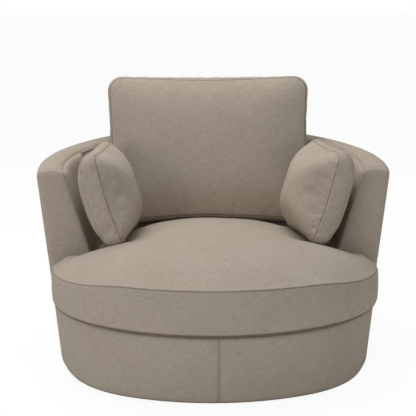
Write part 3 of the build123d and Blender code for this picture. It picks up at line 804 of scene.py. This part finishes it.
def arc_points(points: list, start: Vector, middle: Vector, end: Vector, count: int = 12) -> None:
    """Add the points of an arc through three points, without its end."""
    first, second = middle - start, end - start
    cross = first.x * second.y - first.y * second.x
    if abs(cross) < 1e-7:
        points.extend(start.lerp(end, step / count) for step in range(count))
        return
    a, b = first.length_squared, second.length_squared
    centre = start + Vector(((second.y * a - first.y * b) / (2 * cross), (first.x * b - second.x * a) / (2 * cross)))
    radius = (start - centre).length
    begin = math.atan2(*(start - centre).yx)
    via = (math.atan2(*(middle - centre).yx) - begin) % math.tau
    sweep = (math.atan2(*(end - centre).yx) - begin) % math.tau
    if via > sweep:
        sweep -= math.tau
    for step in range(count):
        turn = begin + sweep * step / count
        points.append(centre + Vector((math.cos(turn), math.sin(turn))) * radius)


def through(spots: list, scale: float = MM) -> list:
    """Dense closed outline through corner and middle points in turn, given in millimetres."""
    points = []
    vectors = [Vector(spot) * scale for spot in spots]
    for index in range(0, len(vectors), 2):
        arc_points(points, vectors[index], vectors[index + 1], vectors[(index + 2) % len(vectors)])
    return points


@dataclass
class Cushion:
    """A boxed cushion: two sewn faces with a band between them, filled and puffed."""

    name: str
    nodes: tuple
    body: str
    cells: tuple
    cloth: bpy.types.Material
    fill: float = 0.8
    pressure: float = 4.0
    slack: float = -0.02
    cap: float = 12 * MM
    bow: float = 0.0
    pinch: float = 0.0
    rest_gap: float = 1.2 * MM
    deepest: float = 22 * MM
    against: list = field(default_factory=list)
    seam_roll: float = 3.5 * MM
    seed: int = 1
    still_below: float = -2.0
    ring_power: float = 1.35
    stitch_rows: tuple = (-0.86, 0.86)
    thread: bpy.types.Material = field(default=None)

    def place(self, u: float, v: float, w: float) -> tuple:
        """Place and map point of a vertex of the unit cube; each kind of cushion has its own."""
        raise NotImplementedError

    def cube(self) -> bmesh.types.BMesh:
        """Unit cube with the cushion's own count of cells each way."""
        shape = bmesh.new()
        bmesh.ops.create_cube(shape, size=2.0)
        for axis, cuts in enumerate(self.cells):
            edges = [edge for edge in shape.edges
                     if abs(edge.verts[0].co[axis] - edge.verts[1].co[axis]) > 1.5]
            bmesh.ops.subdivide_edges(shape, edges=edges, cuts=cuts - 1, use_grid_fill=True)
        return shape

    def build(self) -> bpy.types.Object:
        """Make, puff and place the cushion.

        Returns:
            The finished cushion.
        """
        shape = self.cube()
        layer = shape.loops.layers.uv.new("cloth_metres")
        flat, seams = {}, []
        faces_side = {}
        for face in shape.faces:
            faces_side[face.index] = round(face.calc_center_median().z, 6)
        for vertex in shape.verts:
            u, v, w = vertex.co
            rim = max(abs(u), abs(v)) > 1 - 1e-6
            if (rim and abs(w) > 1 - 1e-6) or (w < self.still_below):
                seams.append(vertex.index)
            vertex.co, top, side = self.place(u, v, w)
            flat[vertex.index] = (top, side)
        for face in shape.faces:
            on_top = abs(faces_side[face.index]) > 1 - 1e-6
            for loop in face.loops:
                loop[layer].uv = flat[loop.vert.index][0 if on_top else 1]
            if not on_top:
                reach = [loop[layer].uv.x for loop in face.loops]
                if max(reach) - min(reach) > 1:
                    for loop in face.loops:
                        if loop[layer].uv.x < 0.5:
                            loop[layer].uv.x += max(reach)
        set_of_seams = set(seams)
        self.relax(shape, set_of_seams)
        bmesh.ops.recalc_face_normals(shape, faces=shape.faces)
        piece = finish_mesh(self.name, shape)
        # Painted shade: the mask is one on the sewn edges, and on the whole underside where the bottom is held
        # still, so the cloth there is darkened as painted shadow in the seam creases and under the cushion.
        tuck = piece.data.attributes.new("painted_seam_shade", "FLOAT", "POINT")
        tuck.data.foreach_set("value", [float(index in set_of_seams) for index in range(len(piece.data.vertices))])
        self.puff(piece, seams)
        self.settle(piece)
        add_modifier(piece, "SUBSURF", levels=1, render_levels=1)
        piece.data.materials.append(self.cloth)
        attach(piece, self.body)
        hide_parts(*self.nodes)
        Stitching(self.name.replace("cloth", "topstitch"), self.body, self.thread).sew(piece, self.stitch_lines())
        LOG.info("made %s", piece.name)
        return piece

    def relax(self, shape: bmesh.types.BMesh, seams: set) -> None:
        """Even out the crown's ridges, away from the seams."""

    def stitch_lines(self) -> list:
        """Closed lines of points near the boxing, a stitch's width inside each seam."""
        lines = []
        for w in self.stitch_rows:
            line = []
            for step in range(160):
                turn = math.tau * step / 160
                u, v = math.cos(turn), math.sin(turn)
                size = max(abs(u), abs(v))
                line.append(self.place(u / size, v / size, w)[0])
            lines.append(line)
        return lines

    def settle(self, piece: bpy.types.Object) -> None:
        """Press the cushion in wherever it would sink into what it leans on.

        Args:
            piece: the puffed cushion.
        """
        graph = bpy.context.evaluated_depsgraph_get()
        graph.update()
        trees = [BVHTree.FromObject(other, graph) for other in self.against]
        for _ in range(3):
            for vertex in piece.data.vertices:
                for tree in trees:
                    spot, normal, _, distance = tree.find_nearest(vertex.co, self.deepest)
                    if spot is None:
                        continue
                    clear = (vertex.co - spot).dot(normal)
                    if clear < self.rest_gap and abs(clear) > 0.97 * distance:
                        vertex.co += normal * (self.rest_gap - clear)

    def puff(self, piece: bpy.types.Object, seams: list) -> None:
        """Blow the cushion up between its seams with a short cloth simulation.

        Args:
            piece: the cushion.
            seams: the vertices on its sewn edges, which stay put.
        """
        group = piece.vertex_groups.new(name="sewn")
        group.add(seams, 1.0, "REPLACE")
        before = np.array([vertex.co[:] for vertex in piece.data.vertices])
        cloth = piece.modifiers.new("Cloth", "CLOTH")
        skin = cloth.settings
        skin.quality = 4
        skin.mass = 0.25
        skin.tension_stiffness = 12
        skin.compression_stiffness = 12
        skin.shear_stiffness = 4
        skin.bending_stiffness = 0.3
        skin.use_pressure = True
        skin.uniform_pressure_force = self.pressure
        skin.shrink_min = self.slack
        skin.vertex_group_mass = "sewn"
        skin.effector_weights.gravity = 0
        cloth.collision_settings.use_collision = False
        cloth.collision_settings.use_self_collision = False
        cloth.point_cache.frame_start = 1
        cloth.point_cache.frame_end = 20
        scene = bpy.context.scene
        for step in range(1, 21):
            scene.frame_set(step)
        held = piece.evaluated_get(bpy.context.evaluated_depsgraph_get())
        after = np.array([vertex.co[:] for vertex in held.data.vertices])
        move = after - before
        length = np.linalg.norm(move, axis=1, keepdims=True)
        move *= self.cap / (length + 0.35 * float(length.max()))
        LOG.info("%s moved %.1f mm", self.name, float(length.max()) / MM)
        piece.modifiers.remove(cloth)
        scene.frame_set(1)
        piece.data.vertices.foreach_set("co", (before + move).ravel())
        piece.vertex_groups.remove(group)


@dataclass
class Stitching:
    """Line of topstitches in twisted thread, laid on a finished piece."""

    name: str
    body: str
    thread: bpy.types.Material
    pitch: float = 5.5 * MM
    length: float = 4.0 * MM
    gauge: float = 0.55 * MM

    def sew(self, piece: bpy.types.Object, lines: list) -> bpy.types.Object:
        """Lay stitches along closed lines, each pressed onto the piece.

        Args:
            piece: what is sewn.
            lines: closed lists of points near its surface.

        Returns:
            The stitches as one object.
        """
        graph = bpy.context.evaluated_depsgraph_get()
        graph.update()
        surface = BVHTree.FromObject(piece, graph)
        shape = bmesh.new()
        for line in lines:
            gone = 0.0
            for start, end in zip(line, line[1:] + line[:1]):
                span = (end - start).length
                while gone < span:
                    spot, normal, _, _ = surface.find_nearest(start.lerp(end, gone / span))
                    along = (end - start).normalized()
                    side = normal.cross(along).normalized()
                    turn = Matrix((along, side, normal)).transposed().to_4x4()
                    size = Matrix.Diagonal((self.length / 2 / self.gauge, 1.0, 0.8, 1.0))
                    bmesh.ops.create_icosphere(
                        shape, subdivisions=1, radius=self.gauge,
                        matrix=Matrix.Translation(spot + normal * self.gauge * 0.3) @ turn @ size)
                    gone += self.pitch
                gone -= span
        stitches = finish_mesh(self.name, shape)
        stitches.data.materials.append(self.thread)
        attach(stitches, self.body)
        return stitches


@dataclass
class SeatCushion(Cushion):
    """T-shaped seat cushion: round front, ears in front of the arms, round rear in the tub."""

    tub: Tub = None
    front_y: float = -558.0
    ear_half: float = 506.0
    ear_radius: float = 54.0
    ear_side: float = 26.0
    ear_gap: float = 5.0
    notch: float = 12.0
    shoulder_turn: float = 35.0
    wall_gap: float = 5.0
    seam_z: float = 358.0
    low_seam_z: float = 225.0
    under_z: float = 215.6
    tilt: float = 0.042
    crown: float = 83.0
    core_y: float = -220.0
    crown_power: float = 2.4
    crown_reach: float = 420.0
    edge_softness: float = 20.0
    ear_softness: float = 15.0
    ear_dip: float = 20.0
    ear_start: float = 300.0
    under_roll: float = 16.0
    boxing_bulge: float = 2.0

    def outline(self, z: float) -> list:
        """Outline at a height, from the middle of the front anticlockwise."""
        share = (z * MM - self.tub.deck_z) / (self.tub.rim_z - self.tub.deck_z)
        radius = blend(self.tub.bowl_floor_radius, self.tub.bowl_rim_radius, share) / MM - self.wall_gap
        centre_y = blend(self.tub.bowl_floor_y, self.tub.bowl_rim_y, share) / MM
        rear_y = self.tub.front_y / MM - self.ear_gap
        side_y = rear_y - self.ear_radius - self.ear_side
        turn = math.radians(self.shoulder_turn)
        spread = (self.ear_half - (side_y - self.front_y)) / (math.sin(turn) + math.cos(turn) - 1)
        shoulder = self.ear_half - spread * math.sin(turn)
        front = shoulder + spread
        front_y = self.front_y + front
        notch_y = rear_y + self.notch
        notch_x = math.sqrt((radius + self.notch) ** 2 - (notch_y - centre_y) ** 2)
        tangent = math.atan2(notch_y - centre_y, notch_x)
        joint = (front * math.sin(turn), front_y - front * math.cos(turn))
        half_turn = math.radians((90 + self.shoulder_turn) / 2)
        shoulder_x = self.ear_half - shoulder
        ear_x, ear_y = self.ear_half - self.ear_radius, rear_y - self.ear_radius
        bite = (-math.pi / 2 + tangent - math.pi) / 2
        slant = math.sqrt(0.5)
        right = [
            (0, self.front_y), (front * math.sin(turn / 2), front_y - front * math.cos(turn / 2)),
            joint, (shoulder_x + shoulder * math.sin(half_turn), side_y - shoulder * math.cos(half_turn)),
            (self.ear_half, side_y), (self.ear_half, (side_y + ear_y) / 2),
            (self.ear_half, ear_y), (ear_x + self.ear_radius * slant, ear_y + self.ear_radius * slant),
            (ear_x, rear_y), ((ear_x + notch_x) / 2, rear_y),
            (notch_x, rear_y), (notch_x + self.notch * math.cos(bite), notch_y + self.notch * math.sin(bite)),
            (radius * math.cos(tangent), centre_y + radius * math.sin(tangent)),
            (radius * math.cos(tangent / 2 + math.pi / 4), centre_y + radius * math.sin(tangent / 2 + math.pi / 4)),
        ]
        return right + [(0, centre_y + radius)] + [(-x, y) for x, y in reversed(right[1:])]

    def __post_init__(self) -> None:
        """Work out the two sewn outlines; the square's corners are both ears and both rear quarters."""
        self.seam_rear_z = self.seam_z - self.tilt * (
            (self.tub.bowl_floor_y + self.tub.bowl_floor_radius) / MM - self.front_y)
        corners = (10 * 12 + 6, 3 * 12 + 6, 6 * 12 + 6, 7 * 12 + 6)
        self.top = Outline(through(self.outline(self.seam_rear_z)), corners)
        self.low = Outline(through(self.outline(self.low_seam_z)), corners)
        points = np.array([point[:] for point in self.top.points])
        self.starts, self.steps = points, np.roll(points, -1, axis=0) - points

    def seam_gap(self, spot: Vector) -> float:
        """Distance from a point to the nearest place on the top seam, in metres."""
        away = np.array(spot[:]) - self.starts
        share = np.clip((away * self.steps).sum(1) / np.maximum((self.steps ** 2).sum(1), 1e-12), 0, 1)
        return float(np.linalg.norm(away - self.steps * share[:, None], axis=1).min())

    def crown_rise(self, gap: float, side_x: float) -> float:
        """Rise of the crown at a distance from the seam, flatter on the ears, in metres."""
        share = min(gap / (self.crown_reach * MM), 1.0)
        ear = min(max((abs(side_x) / MM - self.ear_start) / 120, 0), 1)
        softness = self.edge_softness + self.ear_softness * ear * ear * (3 - 2 * ear)
        soft = gap ** 2 / (gap ** 2 + (softness * MM) ** 2)
        return self.crown * MM * (1 - (1 - share) ** self.crown_power) * soft

    def relax(self, shape: bmesh.types.BMesh, seams: set) -> None:
        """Even out the ridges where two sides of the crown meet."""
        middle = [vertex for vertex in shape.verts
                  if vertex.co.z > self.seam_height(vertex.co.y) + 9 * MM and vertex.index not in seams]
        for _ in range(25):
            bmesh.ops.smooth_vert(shape, verts=middle, factor=0.5, use_axis_z=True)

    def seam_height(self, y: float) -> float:
        """Height of the tilted top seam at a depth, in metres."""
        return self.seam_z * MM - self.tilt * (y - self.front_y * MM)

    def ripple(self, run: float) -> float:
        """Uneven pull of the lower seam along its run, in metres."""
        return 1.5 * MM * (math.sin(47 * run) + 0.7 * math.sin(81 * run + 1.3) + 0.5 * math.sin(23 * run + 0.4))

    def hollows(self, spot: Vector) -> float:
        """Shallow hollows and folds that use has left in the crown, in metres."""
        broad = math.sin(19 * spot.x + 0.8) * math.sin(15 * spot.y + 1.9)
        fold = math.sin(31 * spot.x - 24 * spot.y + 0.5) * math.sin(9 * spot.x + 11 * spot.y)
        return 1.6 * MM * broad + 1.1 * MM * fold

    def dip(self, x: float) -> float:
        """How far the top seam sags towards the ears, in metres."""
        share = min(max((abs(x) / MM - 260) / 220, 0), 1)
        return self.ear_dip * MM * share * share * (3 - 2 * share)

    def place(self, u: float, v: float, w: float) -> tuple:
        """Place and map points of one vertex."""
        size = max(abs(u), abs(v), 1e-9)
        upper = w >= 1 - 1e-6
        share = (w + 1) / 2
        ring = 1 - (1 - min(size, 1.0)) ** self.ring_power
        outline = self.top if upper else self.low
        run = outline.run(u / size, v / size)
        edge = outline.at(run)
        core = Vector((0, self.core_y * MM))
        if abs(w) > 1 - 1e-6:
            spot = core.lerp(edge, ring)
            gap = self.seam_gap(spot) if ring < 1 else 0.0
            if upper:
                rise = self.crown_rise(gap, spot.x)
                sink = roll(gap, self.seam_roll)
                inner = gap ** 2 / (gap ** 2 + (26 * MM) ** 2)
                rise += self.hollows(spot) * inner
                sag = self.dip(spot.x) * (1 - inner)
                z = self.seam_height(spot.y) + rise - sink - sag
                if ring >= 1:
                    spot = spot - (spot - core).normalized() * self.seam_roll
            else:
                reach = self.under_roll * MM
                depth = (self.low_seam_z - self.under_z) * MM
                drop = depth * math.sqrt(1 - max(1 - gap / reach, 0) ** 2)
                z = self.low_seam_z * MM - drop
            return Vector((spot.x, spot.y, z)), (spot.x, spot.y), (run, z)
        low_edge = self.low.at(self.low.run(u / size, v / size))
        high_edge = self.top.at(self.top.run(u / size, v / size))
        spot = low_edge.lerp(high_edge, share)
        height = self.seam_height(high_edge.y) - self.dip(high_edge.x) - self.low_seam_z * MM
        z = self.low_seam_z * MM + height * share
        gap = min(share, 1 - share) * height
        sink = roll(gap, self.seam_roll)
        free = 1.0 if spot.y < -0.15 else 0.0
        bulge = self.boxing_bulge * MM * math.sin(math.pi * share) * free
        away = (spot - core).normalized()
        loose = self.ripple(run) * (1 - share) ** 2 * free
        spot = spot + away * (bulge - sink + loose)
        z += loose * 0.8
        return Vector((spot.x, spot.y, z)), (spot.x, spot.y), (run, z)


@dataclass
class LooseCushion(Cushion):
    """Rounded oblong cushion with a boxing band, that leans in its own plane."""

    origin: Vector = None
    along: Vector = None
    facing: Vector = None
    front_half: tuple = (0.0, 0.0)
    rear_half: tuple = (0.0, 0.0)
    half_height: float = 0.0
    corner: float = 0.0
    draw_in: float = 0.0
    boxing: float = 0.0
    crowns: tuple = (0.0, 0.0)
    crown_power: float = 3.6
    boxing_bulge: float = 4.0
    edge_round: float = 12 * MM
    evening: int = 10
    foot_extra: float = 0.0

    def outline(self, top_half: float, foot_half: float) -> Outline:
        """Outline of one face: rounded corners, sides drawn in between them."""
        waist = (top_half + foot_half) / 2 - self.draw_in
        corner, height = self.corner, self.half_height
        low = height + self.foot_extra
        bend = corner * math.sqrt(0.5)
        spots = [
            (corner - foot_half, -low), (0, self.draw_in - height),
            (foot_half - corner, -low), (foot_half - corner + bend, corner - low - bend),
            (foot_half, corner - low), (waist, 0),
            (top_half, height - corner), (top_half - corner + bend, height - corner + bend),
            (top_half - corner, height), (0, height - self.draw_in),
            (corner - top_half, height), (corner - bend - top_half, height - corner + bend),
            (-top_half, height - corner), (-waist, 0),
            (-foot_half, corner - low), (corner - foot_half - bend, corner - low - bend),
        ]
        return Outline(through(spots), (7 * 12 + 6, 12 + 6, 3 * 12 + 6, 5 * 12 + 6))

    def relax(self, shape: bmesh.types.BMesh, seams: set) -> None:
        """Round off the ridges that run to the face's corners."""
        loose = [vertex for vertex in shape.verts if vertex.index not in seams]
        for _ in range(self.evening):
            bmesh.ops.smooth_vert(shape, verts=loose, factor=0.5, use_axis_x=True, use_axis_y=True, use_axis_z=True)

    def __post_init__(self) -> None:
        """Work out both sewn outlines and the plane's third direction."""
        self.top = self.outline(*self.front_half)
        self.low = self.outline(*self.rear_half)
        self.up = self.facing.cross(self.along)

    def place(self, u: float, v: float, w: float) -> tuple:
        """Place and map points of one vertex."""
        size = max(abs(u), abs(v), 1e-9)
        ring = 1 - (1 - min(size, 1.0)) ** self.ring_power
        half = self.boxing / 2 * MM
        share = (w + 1) / 2
        if abs(w) > 1 - 1e-6:
            outline = self.top if w > 0 else self.low
            crown = self.crowns[0] if w > 0 else self.crowns[1]
            edge = outline.at(outline.run(u / size, v / size))
            edge = edge - edge.normalized() * self.edge_round
            spot = edge * ring
            rise = crown * MM * (1 - ring ** self.crown_power) if ring < 1 else 0.0
            gap = edge.length * (1 - ring)
            depth = math.copysign(half + rise - roll(gap, self.seam_roll), w)
        else:
            low_edge = self.low.at(self.low.run(u / size, v / size))
            high_edge = self.top.at(self.top.run(u / size, v / size))
            spot = low_edge.lerp(high_edge, share)
            depth = blend(-half, half, share)
            gap = min(share, 1 - share) * half * 2
            bulge = self.boxing_bulge * MM * math.sin(math.pi * share) - roll(gap, self.edge_round)
            spot = spot + spot.normalized() * bulge
        run = self.top.run(u / size, v / size)
        high = spot.y / (self.half_height * MM)
        depth = depth * (1 - self.pinch * high ** 4) + self.bow * high ** 2
        point = self.origin + self.along * spot.x + self.up * spot.y + self.facing * depth
        return point, (spot.x, spot.y), (run, depth)


def cushions(tub: Tub, walls: list, cloth: bpy.types.Material, thread: bpy.types.Material) -> None:
    """Make the four loose cushions.

    Args:
        tub: the tub that they sit in.
        walls: its panels that they may lean on.
        cloth: their cover's material.
        thread: their topstitching's material.
    """
    seat = SeatCushion("seat_cushion_cloth", ("seat_cushion",), "seat_cushion", (116, 76, 14), cloth, tub=tub, thread=thread,
                       cap=3 * MM, slack=-0.01, seam_roll=2.5 * MM, still_below=-0.99, against=walls)
    seat_piece = seat.build()
    lean = math.radians(17)
    foot_z = seat.seam_height(182.5 * MM) + 92 * 0.812 * MM
    front = Vector((0, -math.cos(lean), math.sin(lean)))
    rise = Vector((0, math.sin(lean), math.cos(lean))) * 236 * MM
    origin = Vector((-7 * MM, 182.5 * MM, foot_z)) - front * 64 * MM + rise
    back_piece = LooseCushion(
        "back_cushion_cloth", ("back_cushion",), "back_cushion", (80, 60, 16), cloth, origin=origin,
        along=Vector((1, 0, 0)), facing=front, front_half=(345.0, 343.0), rear_half=(326.0, 296.0),
        half_height=246.0, foot_extra=6.0, evening=6, corner=46.0, draw_in=5.0, boxing=128.0, crowns=(36.0, 20.0), seed=2, thread=thread, stitch_rows=(0.9,),
        cap=7 * MM, seam_roll=2.5 * MM,
        against=[seat_piece, *walls]).build()
    for name, side, turn, shift, seat_share, crown in (("left", -1, 8.0, 343, 0.43, 64.0),
                                                       ("right", 1, 12.0, 349, 0.47, 84.0)):
        spin = math.radians(turn)
        face = Vector((-side * math.cos(spin) * math.cos(lean), -math.sin(spin) * math.cos(lean), math.sin(lean)))
        along = Vector((math.sin(spin), -side * math.cos(spin), 0))
        place = Vector((side * shift * MM, 6 * MM, 0))
        place.z = seat.seam_height(place.y) + 92 * seat_share * MM + 148 * MM * math.cos(lean)
        LooseCushion(
            f"side_pillow_{name}_cloth", (f"side_pillow_{name}",), f"side_pillow_{name}", (50, 42, 14), cloth,
            origin=place, along=along, facing=face, front_half=(150.0, 150.0), rear_half=(150.0, 150.0),
            half_height=148.0, corner=34.0, draw_in=5.0, boxing=62.0, crowns=(crown, 34.0), seed=3, thread=thread, stitch_rows=(-0.8, 0.8),
            cap=6 * MM, seam_roll=2.2 * MM, bow=14 * MM, pinch=0.3, pressure=1.0, boxing_bulge=6.0,
            crown_power=2.6, edge_round=4 * MM,
            against=[seat_piece, back_piece, *walls]).build()


@dataclass
class Studio:
    """Camera at the photographed angle, soft lamps and a white floor."""

    turn: float = -2.0
    rise: float = 12.5
    distance: float = 3.75
    target_z: float = 470 * MM
    lens: float = 100.8
    sensor: float = 36.0
    shift: float = -5.5 / 416
    floor_size: float = 40.0

    def camera(self) -> None:
        """Place the camera."""
        sight = bpy.data.cameras.new("studio_camera")
        sight.lens = self.lens
        sight.sensor_width = self.sensor
        sight.shift_x = self.shift
        viewer = bpy.data.objects.new("studio_camera", sight)
        bpy.context.scene.collection.objects.link(viewer)
        turn, rise = math.radians(self.turn), math.radians(self.rise)
        back = Vector((math.sin(turn) * math.cos(rise), -math.cos(turn) * math.cos(rise), math.sin(rise)))
        viewer.location = Vector((0, 0, self.target_z)) + back * self.distance
        viewer.rotation_mode = "QUATERNION"
        viewer.rotation_quaternion = (-back).to_track_quat("-Z", "Y")
        bpy.context.scene.camera = viewer

    def lamp(self, name: str, place: Vector, size: float, power: float) -> None:
        """Add a square soft lamp that points at the chair."""
        light = bpy.data.lights.new(name, "AREA")
        light.shape = "SQUARE"
        light.size = size
        light.energy = power
        holder = bpy.data.objects.new(name, light)
        bpy.context.scene.collection.objects.link(holder)
        holder.location = place
        aim = Vector((0, 0, 400 * MM)) - place
        holder.rotation_mode = "QUATERNION"
        holder.rotation_quaternion = aim.to_track_quat("-Z", "Y")

    def floor(self) -> None:
        """Lay a white floor that keeps a faint shadow."""
        shape = bmesh.new()
        bmesh.ops.create_grid(shape, x_segments=1, y_segments=1, size=self.floor_size / 2)
        ground = finish_mesh("studio_floor", shape)
        paint = Finish("matt_white_floor")
        seen = paint.add("ShaderNodeLightPath")
        either = paint.add("ShaderNodeMath", {"operation": "MAXIMUM"}, i0=seen.outputs["Is Camera Ray"],
                           i1=seen.outputs["Is Glossy Ray"])
        share = paint.add("ShaderNodeMath", {"operation": "MULTIPLY"}, i0=either.outputs[0], i1=0.9)
        glow = paint.add("ShaderNodeEmission", Color=linear("#ffffff"), Strength=1.04)
        paint.shader.inputs["Base Color"].default_value = linear("#e6e4e1")
        paint.shader.inputs["Roughness"].default_value = 1.0
        mix = paint.add("ShaderNodeMixShader", i0=share.outputs[0], i1=paint.shader.outputs[0], i2=glow.outputs[0])
        paint.tree.links.new(mix.outputs[0], paint.output.inputs["Surface"])
        ground.data.materials.append(paint.material)

    def world(self) -> None:
        """Fill the room with even light, white where the camera sees it."""
        room = bpy.data.worlds.new("studio_room")
        bpy.context.scene.world = room
        room.use_nodes = True
        tree = room.node_tree
        sky = tree.nodes["Background"]
        sky.inputs["Color"].default_value = linear("#f4f5f8")
        sky.inputs["Strength"].default_value = 0.34
        white = tree.nodes.new("ShaderNodeBackground")
        white.inputs["Color"].default_value = linear("#ffffff")
        seen = tree.nodes.new("ShaderNodeLightPath")
        mix = tree.nodes.new("ShaderNodeMixShader")
        tree.links.new(seen.outputs["Is Camera Ray"], mix.inputs[0])
        tree.links.new(sky.outputs[0], mix.inputs[1])
        tree.links.new(white.outputs[0], mix.inputs[2])
        tree.links.new(mix.outputs[0], tree.nodes["World Output"].inputs["Surface"])

    def build(self) -> None:
        """Set up the whole studio."""
        bpy.context.scene.view_settings.view_transform = "Standard"
        self.camera()
        self.floor()
        self.world()
        self.lamp("soft_overhead", Vector((-0.6, 0.55, 3.4)), 2.4, 76.0)
        self.lamp("soft_front_left", Vector((-2.6, -2.8, 1.2)), 1.6, 30.0)
        self.lamp("soft_front_right", Vector((2.6, -2.6, 1.0)), 1.6, 12.0)


def finish_nodes(cloth: bpy.types.Material) -> None:
    """Give each node that shows as modelled its material, by its slot in the record.

    Args:
        cloth: the cover's material.
    """
    made = {"linen_cover": cloth}
    for entry in frame["record"]["subparts"]:
        slot = entry["material_slot"]
        if slot not in made:
            made[slot] = HIDDEN_FINISHES[slot].make()
        node = frame["nodes"][entry["node"]]
        node.data.materials.clear()
        node.data.materials.append(made[slot])


def main() -> None:
    """Build the chair and its studio."""
    logging.basicConfig(level=logging.INFO)
    Studio().build()
    linen = WovenLinen().make()
    tub = Tub(cloth=linen)
    thread = Sheet("spun_polyester_thread_taupe", "#c6baac", "#b9ada0", 0.8, woven=False, roughness=0.8).make()
    cushions(tub, tub.build(), linen, thread)
    finish_nodes(linen)


if __name__ == "__main__":
    main()
